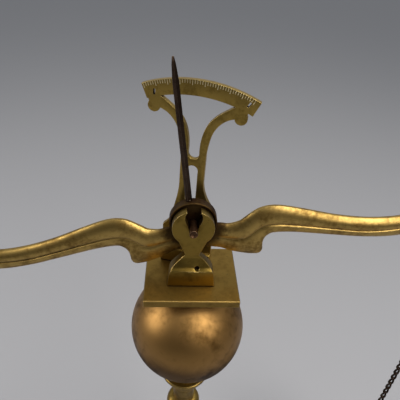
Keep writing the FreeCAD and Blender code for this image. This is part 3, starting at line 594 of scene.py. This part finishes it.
def smooth(mesh: bpy.types.Mesh, crease: float) -> None:
    """Shades a mesh smooth, except across edges sharper than crease degrees."""
    mesh.shade_smooth()
    mesh.set_sharp_from_angle(angle=math.radians(crease))


def dressed(made: bpy.types.Object, finish: bpy.types.Material) -> None:
    """Gives every face of an object one finish."""
    made.data.materials.clear()
    made.data.materials.append(finish)


def lathe(outline: list[Pair], steps: int) -> bmesh.types.BMesh:
    """Turns a closed outline about Y.

    Args:
        outline: (radius, y) points.
        steps: faces in a full turn.

    Returns:
        A closed ring-shaped mesh.
    """
    mesh = bmesh.new()
    rings = []
    for step in range(steps):
        angle = FULL_TURN * step / steps
        across, up = math.cos(angle), math.sin(angle)
        rings.append([mesh.verts.new((r * across, y, r * up)) for r, y in outline])
    bridge(mesh, rings, True)
    return mesh


def bridge(mesh: bmesh.types.BMesh, rings: list[list[bmesh.types.BMVert]], closed: bool) -> None:
    """Joins loops of points with quads.

    Args:
        mesh: the mesh that holds the points.
        rings: loops of the same length, in order.
        closed: whether the last loop joins the first; if not, both ends are capped.
    """
    count = len(rings[0])
    pairs = list(zip(rings, rings[1:]))
    if closed:
        pairs.append((rings[-1], rings[0]))
    for one, two in pairs:
        for k in range(count):
            after = (k + 1) % count
            mesh.faces.new((one[k], one[after], two[after], two[k]))
    if not closed:
        mesh.faces.new(rings[0][::-1])
        mesh.faces.new(rings[-1])
    bmesh.ops.recalc_face_normals(mesh, faces=mesh.faces)


def to_object(name: str, mesh: bmesh.types.BMesh, crease: float = SOFT_CREASE) -> bpy.types.Object:
    """Writes a bmesh out as an object.

    Args:
        name: name of the object.
        mesh: the bmesh; it is used up.
        crease: sharpest angle, in degrees, that is shaded smooth.

    Returns:
        The object.
    """
    data = bpy.data.meshes.new(name)
    mesh.to_mesh(data)
    mesh.free()
    smooth(data, crease)
    return linked(name, data)


def baked(source: bpy.types.Object, name: str) -> bpy.types.Object:
    """Replaces an object by the plain mesh that its modifiers make.

    Args:
        source: the object; it is used up.
        name: name of the result.

    Returns:
        The new object.
    """
    graph = bpy.context.evaluated_depsgraph_get()
    mesh = bpy.data.meshes.new_from_object(source.evaluated_get(graph))
    bpy.data.objects.remove(source)
    mesh.name = name
    return linked(name, mesh)


def united(name: str, parts: list[bpy.types.Object], crease: float) -> bpy.types.Object:
    """Joins closed solids into one skin.

    Args:
        name: name of the result.
        parts: the solids; all are used up.
        crease: sharpest angle, in degrees, that stays smooth.

    Returns:
        The joined object.
    """
    base = parts[0]
    for part in parts[1:]:
        step = base.modifiers.new("join", "BOOLEAN")
        step.operation = "UNION"
        step.solver = "EXACT"
        step.object = part
    made = baked(base, name)
    for part in parts[1:]:
        bpy.data.objects.remove(part)
    smooth(made.data, crease)
    return made


def eased_copy(node: str, name: str, width: float, crease: float = 30,
               merge: float = 0.002 * MM, flat: float = 0.6) -> bpy.types.Object:
    """Copies a frame node and rounds its sharp edges.

    Args:
        node: the frame node.
        name: name of the copy.
        width: how far each edge is cut back.
        crease: edges sharper than this many degrees are rounded.
        merge: points nearer than this become one.
        flat: faces within this many degrees of each other become one.

    Returns:
        The rounded copy.
    """
    mesh = bmesh.new()
    mesh.from_mesh(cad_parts[node].data)
    bmesh.ops.remove_doubles(mesh, verts=mesh.verts, dist=merge)
    bmesh.ops.dissolve_limit(mesh, angle_limit=math.radians(flat), verts=mesh.verts, edges=mesh.edges)
    sharp = [e for e in mesh.edges if e.is_manifold and e.calc_face_angle() > math.radians(crease)]
    bmesh.ops.bevel(mesh, geom=sharp, offset=width, offset_type="OFFSET", segments=2, profile=0.6,
                    affect="EDGES", clamp_overlap=True)
    bmesh.ops.triangulate(mesh, faces=[f for f in mesh.faces if len(f.verts) > 4])
    return to_object(name, mesh, EASED_CREASE)


def through(points: list[Vector], per_span: int) -> list[Vector]:
    """Draws a smooth line through points.

    Args:
        points: where the line passes.
        per_span: steps between two of them.

    Returns:
        The line's points.
    """
    ends = [2 * points[0] - points[1], *points, 2 * points[-1] - points[-2]]
    line = []
    for a, b, c, d in zip(ends, ends[1:], ends[2:], ends[3:]):
        for step in range(per_span):
            t = step / per_span
            line.append(0.5 * (2 * b + (c - a) * t + (2 * a - 5 * b + 4 * c - d) * t ** 2
                               + (3 * b - a - 3 * c + d) * t ** 3))
    return [*line, points[-1]]


# Repeats


class PatternGraph(Graph):
    """A Geometry Nodes tree with named inputs."""

    def __init__(self, name: str, sizes: dict[str, float]) -> None:
        """Makes the tree.

        Args:
            name: name of the tree.
            sizes: its inputs and their usual values.
        """
        super().__init__(bpy.data.node_groups.new(name, "GeometryNodeTree"))
        self.tree.interface.new_socket("Geometry", in_out="INPUT", socket_type="NodeSocketGeometry")
        self.tree.interface.new_socket("Geometry", in_out="OUTPUT", socket_type="NodeSocketGeometry")
        self.identifiers = {}
        for word, value in sizes.items():
            made = self.tree.interface.new_socket(word, in_out="INPUT", socket_type="NodeSocketFloat")
            made.default_value = value
            self.identifiers[word] = made.identifier
        self.entry = self.tree.nodes.new("NodeGroupInput")

    def given(self, word: str) -> Term:
        """One of the tree's inputs."""
        return Term(self, self.entry.outputs[word])

    def circle(self, points: int, radius: Any) -> Term:
        """A circle about the origin."""
        return self.node("GeometryNodeCurvePrimitiveCircle", {"mode": "RADIUS"},
                         {"Resolution": points, "Radius": radius}, "Curve")

    def close(self, instances: Term, finish: bpy.types.Material) -> None:
        """Ends the tree.

        Args:
            instances: what the tree has placed.
            finish: the finish that the plain meshes get.
        """
        real = self.node("GeometryNodeRealizeInstances", {}, {"Geometry": instances})
        painted = self.node("GeometryNodeSetMaterial", {}, {"Geometry": real, "Material": finish})
        self.node("NodeGroupOutput", {}, {"Geometry": painted})

    def run(self, base: bpy.types.Object, name: str,
            sizes: dict[str, float] | None = None) -> bpy.types.Object:
        """Runs the tree on an object and keeps the plain mesh that it makes.

        Args:
            base: the object that carries the pattern; it is used up.
            name: name of the result.
            sizes: inputs that differ from their usual values.

        Returns:
            The new object.
        """
        step = base.modifiers.new(self.tree.name, "NODES")
        step.node_group = self.tree
        for word, value in (sizes or {}).items():
            step[self.identifiers[word]] = value
        return baked(base, name)


class CurbLinks(PatternGraph):
    """Twisted oval links, one after the other along each line of the base mesh."""

    PATH_POINTS = 12
    WIRE_SIDES = 5
    SIZES = {"Pitch": 6.7 * MM, "Width": 5 * MM, "Wire": 0.85 * MM}
    TWIST = 0.7
    SLACK = 0.95

    def __init__(self, finish: bpy.types.Material) -> None:
        """Builds the tree.

        Args:
            finish: finish of the links.
        """
        super().__init__("curb_links", {**self.SIZES, "Twist": self.TWIST})
        wire = self.given("Wire")
        ring = self.circle(self.PATH_POINTS, 1.0)
        spot = self.node("GeometryNodeInputPosition")
        down = self.along(spot, "Y")
        reach = self.along(spot, "X") * (self.given("Width") * 0.5 - wire)
        turn = down * self.given("Twist")
        half_link = self.given("Pitch") * 0.5 + wire * self.SLACK
        bent = self.vector(X=reach * turn.cos(), Y=reach * turn.sin(), Z=down * half_link)
        oval = self.node("GeometryNodeSetPosition", {}, {"Geometry": ring, "Position": bent})
        round_wire = self.circle(self.WIRE_SIDES, wire)
        link = self.node("GeometryNodeCurveToMesh", {}, {"Curve": oval, "Profile Curve": round_wire})
        lines = self.node("GeometryNodeMeshToCurve", {}, {"Mesh": self.given("Geometry")})
        spots = self.node("GeometryNodeCurveToPoints", {"mode": "LENGTH"},
                          {"Curve": lines, "Length": self.given("Pitch")}, "Points")
        heading = Term(self, self.socket(spots.socket.node.outputs, "Tangent"))
        turned = self.node("FunctionNodeAlignRotationToVector", {"axis": "Z"}, {"Vector": heading})
        links = self.node("GeometryNodeInstanceOnPoints", {},
                          {"Points": spots, "Instance": link, "Rotation": turned})
        even = self.node("GeometryNodeSetShadeSmooth", {}, {0: links})
        self.close(even, finish)


class Graduations(PatternGraph):
    """Fine radial cuts on an arc about the origin, every fifth one longer."""

    EVERY = 5

    def __init__(self, finish: bpy.types.Material, count: int, sizes: dict[str, float]) -> None:
        """Builds the tree.

        Args:
            finish: finish of the cuts.
            count: number of cuts.
            sizes: Outer, Half angle, Short, Long, Breadth and Proud, in metres and radians.
        """
        super().__init__("graduations", sizes)
        row = self.node("GeometryNodeMeshLine", {}, {"Count": count}, "Mesh")
        number = self.node("GeometryNodeInputIndex")
        angle = (number * (2 / (count - 1)) - 1) * self.given("Half angle")
        fifth = (number % self.EVERY) < 0.5
        length = self.given("Short") + fifth * (self.given("Long") - self.given("Short"))
        radius = self.given("Outer") - length * 0.5
        spot = self.vector(X=radius * angle.sin(), Z=radius * angle.cos())
        placed = self.node("GeometryNodeSetPosition", {}, {"Geometry": row, "Position": spot})
        cut = self.node("GeometryNodeMeshCube", {}, {"Size": (1.0, 1.0, 1.0)}, "Mesh")
        size = self.vector(X=self.given("Breadth"), Y=self.given("Proud"), Z=length)
        lean = self.vector(Y=angle)
        facing = self.node("FunctionNodeEulerToRotation", {}, {0: lean})
        cuts = self.node("GeometryNodeInstanceOnPoints", {},
                         {"Points": placed, "Instance": cut, "Rotation": facing, "Scale": size})
        self.close(cuts, finish)


# Sub-assemblies


@dataclass
class Paints:
    """The finishes that the sub-assemblies share, made once."""

    made: dict[str, bpy.types.Material] = field(default_factory=dict)

    def of(self, finish: Metal | Felt | FloorPaint) -> bpy.types.Material:
        """Makes a finish, or finds it if it is made.

        Args:
            finish: the finish.

        Returns:
            Its material.
        """
        if finish.name not in self.made:
            self.made[finish.name] = finish.make()
        return self.made[finish.name]


@dataclass
class Assembly:
    """A group of pieces on one body."""

    paints: Paints
    body: str = "stand"

    def settle(self, piece: bpy.types.Object, slot: str, *nodes: str) -> None:
        """Ties a finished piece to its body.

        Args:
            piece: the piece.
            slot: not used.
            nodes: the frame nodes that it stands for.
        """
        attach(piece, self.body)
        if nodes:
            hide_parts(*nodes)
        log.info("%s on %s: %d faces", piece.name, self.body, len(piece.data.polygons))

    def finish_nodes(self, finish: Metal | Felt, *nodes: str) -> None:
        """Gives frame nodes a finish."""
        for node in nodes:
            dressed(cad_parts[node], self.paints.of(finish))


@dataclass
class Stand(Assembly):
    """Foot, column, ball and head plate."""

    shade_rise: float = 6 * MM

    def build(self) -> None:
        """Dresses the column's pieces."""
        self.finish_nodes(Felt(), "base_pad")
        self.finish_nodes(TURNED_BRASS, "base_foot", "lower_knop", "column_shaft", "column_neck",
                          "ball_cup")
        # Painted shade on the ball's lower part.
        shaded_below = middle("ball").z + self.shade_rise
        self.finish_nodes(replace(BALL_BRASS, shaded_below=shaded_below), "ball")
        self.finish_nodes(OLIVE_BRASS, "ball_collar")
        self.finish_nodes(PLATE_BRASS, "head_plate")
        self.finish_nodes(PLAIN_STEEL, "tie_rod", "tie_washer", "tie_nut", "bearing_screws")


@dataclass
class FrontBearing(Assembly):
    """Stepped casting whose notch carries the centre pin."""

    edge: float = 0.3 * MM

    def build(self) -> None:
        """Rounds the casting's edges and dresses it."""
        casting = eased_copy("front_bearing", "front_bearing_casting", self.edge)
        dressed(casting, self.paints.of(OLIVE_BRASS))
        self.settle(casting, "aged_brass", "front_bearing")


@dataclass
class Lyre(Assembly):
    """Pierced frame with the graduated arc."""

    edge: float = 0.14 * MM
    arc_radius: float = 77.0 * MM
    half_angle: float = math.radians(21.6)
    thickness: float = 3.0 * MM
    lean: float = math.radians(1.5)
    yaw: float = math.radians(-15)
    shift: tuple[float, float] = (-1.8 * MM, 11.0 * MM)
    cut_count: int = 46
    cut_short: float = 1.8 * MM
    cut_long: float = 2.6 * MM
    cut_breadth: float = 0.42 * MM
    cut_proud: float = 0.1 * MM

    def placement(self, pivot: Vector) -> Matrix:
        """Finds where the lyre's own plane stands.

        Args:
            pivot: the point that the beam turns on.

        Returns:
            The plane's place and turn.
        """
        spot = pivot + Vector((self.shift[0], self.shift[1], 0))
        return (Matrix.Translation(spot) @ Matrix.Rotation(self.yaw, 4, "Z")
                @ Matrix.Rotation(self.lean, 4, "Y"))

    def build(self, pivot: Vector) -> None:
        """Rounds the casting's edges and cuts the graduations.

        Args:
            pivot: the point that the beam turns on.
        """
        casting = eased_copy("lyre_frame", "lyre_casting", self.edge)
        dressed(casting, self.paints.of(LYRE_BRASS))
        self.settle(casting, "aged_brass", "lyre_frame")
        base = linked("graduation_base", bpy.data.meshes.new("graduation_base"))
        sizes = {"Outer": self.arc_radius - self.edge, "Half angle": self.half_angle,
                 "Short": self.cut_short, "Long": self.cut_long, "Breadth": self.cut_breadth,
                 "Proud": self.cut_proud}
        tree = Graduations(self.paints.of(TICK_BRASS), self.cut_count, sizes)
        cuts = tree.run(base, "arc_graduations")
        front = Matrix.Translation((0, -self.thickness / 2, 0))
        cuts.data.transform(self.placement(pivot) @ front)
        self.settle(cuts, "aged_brass")


@dataclass
class Beam(Assembly):
    """Swan-neck beam with its hub, pins and pointer. Lengths from the pivot are in millimetres."""

    body: str = "beam"
    tilt: float = math.radians(-7.5)
    half_length: float = 172.0
    hub_radius: float = 13.6
    hub_thickness: float = 5.0
    rim_width: float = 1.2
    rim_proud: float = 0.8
    pin_radius: float = 2.35
    boss_radius: float = 6.0
    end_pin_radius: float = 1.5
    edge_half: float = 0.8
    ridge_half: float = 3.8
    crease_share: float = 0.62
    thin_step: float = 0.4
    rise_start: float = 14.0
    rise_run: float = 14.0
    fall_run: float = 30.0
    fall_end: float = 6.0
    chamfer: float = 0.4
    boss_chamfer: float = 0.5
    rim_foot: Pair = (0.4, 0.35)
    rim_shoulder: Pair = (0.1, 0.15)
    rim_top: float = 0.3
    pointer_edge: float = 0.12 * MM
    per_span: int = 6
    round_steps: int = 72
    # Swelling of the front: share of the way from edge to crease, share of the thickness
    upper_swell: tuple[Pair, ...] = ((0, 0), (0.05, 0.22), (0.14, 0.46), (0.27, 0.7), (0.43, 0.9),
                                      (0.6, 1), (0.77, 0.97), (0.91, 0.84))
    lower_swell: tuple[Pair, ...] = ((0, 0.15), (0.12, 0.42), (0.3, 0.66), (0.52, 0.8),
                                      (0.74, 0.87), (0.9, 0.86))
    # Upper edge, crease and lower edge of the arm near the hub, from the pivot
    neck: tuple[tuple[Pair, Pair, Pair], ...] = (
        ((2, -3.8), (2, -12.0), (2, -18.6)),
        ((14, -3.8), (14, -13.1), (14, -21.2)),
        ((20, -5.0), (21, -14.4), (20, -24.2)),
        ((26, -3.9), (26.5, -15.0), (28, -26.9)),
        ((30, -1.1), (30.5, -14.1), (33.5, -28.1)),
        ((34, 1.9), (33.5, -11.7), (37.5, -27.9)),
        ((38, 4.2), (36.7, -8.9), (39.4, -25.1)),
        ((43, 5.3), (40.5, -7.0), (39.6, -19.6)),
        ((48, 5.1), (45.5, -6.5), (41.4, -15.4)),
        ((54, 3.8), (51.3, -6.9), (45.8, -13.2)),
        ((65, 0.4), (63, -9.1), (58, -14.1)),
        ((83, -5.4), (81, -13.0), (78, -18.0)),
    )
    # The same further out, with x from the end pin
    tail: tuple[tuple[Pair, Pair, Pair], ...] = (
        ((-71, -9.2), (-72, -16.8), (-73, -22.0)),
        ((-54, -10.1), (-54, -17.1), (-54, -23.4)),
        ((-38, -7.7), (-38, -14.1), (-38, -20.4)),
        ((-22, -2.3), (-22, -7.9), (-22, -13.2)),
        ((-5, 2.6), (-5, -0.6), (-5, -3.8)),
    )

    def rail(self, row: int) -> list[Vector]:
        """Draws a smooth line along the arm.

        Args:
            row: 0 for the upper edge, 1 for the crease, 2 for the lower edge.

        Returns:
            The line's points.
        """
        near = [station[row] for station in self.neck]
        far = [(station[row][0] + self.half_length, station[row][1]) for station in self.tail]
        return through([Vector((x, 0, z)) for x, z in near + far], self.per_span)

    def thickest(self, x: float) -> float:
        """Finds half the arm's thickness: low at the hub and at the end, full between.

        Args:
            x: distance from the pivot.

        Returns:
            Half the thickness.
        """
        inner = self.hub_thickness / 2 - self.thin_step
        rise = max(0.0, (x - self.rise_start) / self.rise_run)
        fall = max(0.0, (self.half_length - self.fall_end - x) / self.fall_run)
        return inner + (self.ridge_half - inner) * min(1.0, rise, fall)

    def section(self, top: Vector, crease: Vector, low: Vector) -> list[Vector]:
        """Draws the outline across the arm: two swelled faces that meet in a crease, front and back.

        Args:
            top: point on the upper edge.
            crease: point on the crease.
            low: point on the lower edge.

        Returns:
            The closed outline.
        """
        spare = self.thickest(crease.x) - self.edge_half
        front = []
        for edge, swell in ((top, self.upper_swell), (low, self.lower_swell)):
            front.append([edge.lerp(crease, share) - Vector((0, self.edge_half + spare * depth, 0))
                          for share, depth in swell])
        fold = crease - Vector((0, self.edge_half + spare * self.crease_share, 0))
        outline = [*front[0], fold, *reversed(front[1])]
        return outline + [Vector((p.x, -p.y, p.z)) for p in reversed(outline)]

    def arm(self, side: Side) -> bpy.types.Object:
        """Makes one arm as a closed skin.

        Args:
            side: which arm.

        Returns:
            The arm.
        """
        mesh = bmesh.new()
        rings = []
        for top, ridge, low in zip(self.rail(0), self.rail(1), self.rail(2)):
            outline = [Vector((side.value * p.x, p.y, p.z)) for p in self.section(top, ridge, low)]
            rings.append([mesh.verts.new(p * MM) for p in outline])
        bridge(mesh, rings, False)
        return to_object(side.word + "_arm", mesh)

    def hub(self) -> bpy.types.Object:
        """Makes the round hub with a raised rim in front.

        Returns:
            The hub.
        """
        face = -self.hub_thickness / 2
        inner = self.hub_radius - self.rim_width
        proud = face - self.rim_proud
        outer, eased = self.hub_radius, self.hub_radius - self.chamfer
        outline = [
            (self.pin_radius, face), (inner - self.rim_foot[0], face), (inner, face - self.rim_foot[1]),
            (inner + self.rim_shoulder[0], proud + self.rim_shoulder[1]), (inner + self.rim_top, proud),
            (eased, proud), (outer, proud + self.chamfer),
            (outer, -face - self.chamfer), (eased, -face), (self.pin_radius, -face),
        ]
        ring = lathe([(r * MM, y * MM) for r, y in outline], self.round_steps)
        return to_object("hub", ring, TURNED_CREASE)

    def boss(self, side: Side) -> bpy.types.Object:
        """Makes a round end with the hole for the end pin.

        Args:
            side: which end.

        Returns:
            The boss.
        """
        half = self.hub_thickness / 2
        outer, eased = self.boss_radius, self.boss_radius - self.boss_chamfer
        outline = [
            (self.end_pin_radius, -half), (eased, -half), (outer, -half + self.boss_chamfer),
            (outer, half - self.boss_chamfer), (eased, half), (self.end_pin_radius, half),
        ]
        mesh = lathe([(r * MM, y * MM) for r, y in outline], self.round_steps // 2)
        bmesh.ops.translate(mesh, verts=mesh.verts, vec=(side.value * self.half_length * MM, 0, 0))
        return to_object(side.word + "_boss", mesh, TURNED_CREASE)

    def build(self, pivot: Vector) -> None:
        """Makes the casting, tilts it to rest and dresses the pins and the pointer.

        Args:
            pivot: the point that the beam turns on.
        """
        parts = [self.hub()]
        for side in Side:
            parts += [self.arm(side), self.boss(side)]
        casting = united("beam_casting", parts, CAST_CREASE)
        casting.data.transform(Matrix.Translation(pivot) @ Matrix.Rotation(self.tilt, 4, "Y"))
        # Painted shade in a ring round the pivot, for the shade round the hub.
        ring_shaded = replace(BEAM_BRASS, centre=pivot, soil=self.hub_radius * MM)
        dressed(casting, self.paints.of(ring_shaded))
        self.settle(casting, "aged_brass", "beam")
        pointer = eased_copy("pointer", "pointer_blade", self.pointer_edge)
        dressed(pointer, self.paints.of(DARK_STEEL))
        self.settle(pointer, "dark_steel", "pointer")
        self.finish_nodes(PIN_BRONZE, "centre_pin")
        self.finish_nodes(DARK_STEEL, "left_end_pin", "right_end_pin")


@dataclass
class Hanger(Assembly):
    """Everything that hangs from one end of the beam."""

    side: Side = Side.LEFT
    fine_share: float = 0.76
    lower_count: int = 3

    def node(self, word: str) -> str:
        """Full name of one of this side's nodes."""
        return f"{self.side.word}_{word}"

    def line_of(self, node: str) -> tuple[Vector, Vector]:
        """Finds a straight chain's two ends.

        Args:
            node: the chain's frame node.

        Returns:
            The middle of its upper end and of its lower end.
        """
        points = [v.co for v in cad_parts[node].data.vertices]
        core = sum(points, Vector()) / len(points)
        ordered = sorted(points, key=lambda p: (p - core).length * math.copysign(1, p.z - core.z))
        half = len(ordered) // 2
        upper, lower = ordered[half:], ordered[:half]
        return sum(upper, Vector()) / len(upper), sum(lower, Vector()) / len(lower)

    def chain(self, tree: CurbLinks, word: str, nodes: list[str], share: float) -> None:
        """Runs links down the lines of some chain nodes.

        Args:
            tree: the link pattern.
            word: name of the piece.
            nodes: the chains that it stands for.
            share: size of the links against the main chain's.
        """
        mesh = bmesh.new()
        for node in nodes:
            upper, lower = self.line_of(node)
            mesh.edges.new((mesh.verts.new(upper), mesh.verts.new(lower)))
        base = to_object(word + "_base", mesh)
        links = tree.run(base, word, {size: value * share for size, value in tree.SIZES.items()})
        self.settle(links, "dark_chain", *nodes)

    def build(self, tree: CurbLinks) -> None:
        """Hangs the chains and dresses the stirrup, hook, rings and pan.

        Args:
            tree: the link pattern.
        """
        self.body = self.node("pan")
        self.chain(tree, self.node("main_links"), [self.node("main_chain")], 1.0)
        lowers = [self.node(f"lower_chain_{k + 1}") for k in range(self.lower_count)]
        self.chain(tree, self.node("lower_links"), lowers, self.fine_share)
        self.finish_nodes(OLIVE_BRASS, self.node("stirrup"), self.node("spreader"),
                          self.node("rim_rings"))
        self.finish_nodes(CHAIN_STEEL, self.node("hook"), self.node("top_ring"))
        centre = middle(self.node("pan"))
        axis = Vector((centre.x, centre.y, 0))
        turned = replace(TURNED_BRASS, name=self.node("pan_brass"), centre=axis)
        self.finish_nodes(turned, self.node("pan"))


# Studio


@dataclass(frozen=True)
class SoftBox:
    """A square area light aimed at the ball."""

    name: str
    toward: Colour
    distance: float
    size: float
    watts: float
    tint: Colour = (1.0, 1.0, 1.0)

    def hang(self, aim: Vector) -> None:
        """Puts the light up.

        Args:
            aim: what it points at.
        """
        data = bpy.data.lights.new(self.name, "AREA")
        data.size = self.size
        data.energy = self.watts
        data.color = self.tint
        lamp = linked(self.name, data)
        heading = Vector(self.toward).normalized()
        lamp.location = aim + heading * self.distance
        lamp.rotation_euler = heading.to_track_quat("Z", "Y").to_euler()


@dataclass
class Studio:
    """Floor, light and camera. The camera's place is from the middle of the ball."""

    paints: Paints
    lens: float = 36.066
    sensor: float = 36.0
    yaw: float = -0.0773787
    pitch: float = 0.5964898
    roll: float = 0.0659121
    offset: tuple[float, float, float] = (-10.910 * MM, -180.667 * MM, 225.782 * MM)
    clip_start: float = 5 * MM
    floor_half: float = 6.0
    front_air: Colour = (0.02, 0.02, 0.021)
    back_air: Colour = (0.60, 0.61, 0.635)
    air_height_share: float = 0.65
    air_levels: Pair = (-0.3, 0.8)
    boxes: tuple[SoftBox, ...] = (
        SoftBox("left_window", (-0.93, -0.10, 0.38), 1.3, 0.7, 9.5, (1.0, 0.95, 0.92)),
        SoftBox("front_window", (0.54, -0.60, 0.62), 1.3, 0.75, 10.0, (1.0, 0.95, 0.92)),
        SoftBox("ceiling", (0.34, -0.08, 1.0), 1.4, 1.0, 17.0, (1.0, 0.96, 0.90)),
    )

    def camera(self, ball: Vector) -> None:
        """Aims the camera.

        Args:
            ball: middle of the ball.
        """
        level = Vector((math.cos(self.yaw), math.sin(self.yaw), 0))
        ahead = Vector((-level.y, level.x, 0))
        forward = math.cos(self.pitch) * ahead - math.sin(self.pitch) * Vector((0, 0, 1))
        rise = level.cross(forward)
        across = math.cos(self.roll) * level + math.sin(self.roll) * rise
        upward = math.cos(self.roll) * rise - math.sin(self.roll) * level
        data = bpy.data.cameras.new("camera")
        data.lens = self.lens
        data.sensor_width = self.sensor
        data.clip_start = self.clip_start
        camera = linked("camera", data)
        turn = Matrix((across, upward, -forward)).transposed()
        camera.matrix_world = Matrix.Translation(ball + Vector(self.offset)) @ turn.to_4x4()
        bpy.context.scene.camera = camera

    def floor(self) -> None:
        """Lays the pale floor."""
        mesh = bmesh.new()
        reach = self.floor_half
        corners = ((-reach, -reach), (reach, -reach), (reach, reach), (-reach, reach))
        mesh.faces.new([mesh.verts.new((x, y, 0)) for x, y in corners])
        plane = to_object("floor", mesh)
        dressed(plane, self.paints.of(FloorPaint()))

    def air(self) -> None:
        """Sets the room's own light: dim in front of the scale, brighter behind and above."""
        world = bpy.data.worlds.new("room")
        bpy.context.scene.world = world
        world.use_nodes = True
        graph = Graph(world.node_tree)
        graph.tree.nodes.clear()
        heading = graph.node("ShaderNodeTexCoord", output="Generated")
        back = graph.along(heading, "Y") * (1 - self.air_height_share)
        height = graph.along(heading, "Z") * self.air_height_share
        share = (back + height).between(*self.air_levels)
        colour = graph.mix(share, self.front_air, self.back_air)
        light = graph.node("ShaderNodeBackground", {}, {"Color": colour, "Strength": 1.0})
        graph.node("ShaderNodeOutputWorld", {}, {"Surface": light})

    def build(self) -> None:
        """Makes the floor, the light and the camera."""
        ball = middle("ball")
        self.camera(ball)
        self.floor()
        self.air()
        for box in self.boxes:
            box.hang(ball)
        bpy.context.scene.view_settings.view_transform = "Standard"


def pivot_point() -> Vector:
    """Finds the middle of the beam on the centre pin's axis.

    Returns:
        The point.
    """
    pin = middle("centre_pin")
    return Vector((pin.x, middle("beam").y, pin.z))


def main() -> None:
    """Builds the sub-assemblies in order."""
    logging.basicConfig(level=logging.INFO, format="%(message)s")
    paints = Paints()
    pivot = pivot_point()
    Studio(paints).build()
    Stand(paints).build()
    FrontBearing(paints).build()
    Lyre(paints).build(pivot)
    Beam(paints).build(pivot)
    tree = CurbLinks(paints.of(CHAIN_STEEL))
    for side in Side:
        Hanger(paints, side=side).build(tree)


if __name__ == "__main__":
    main()
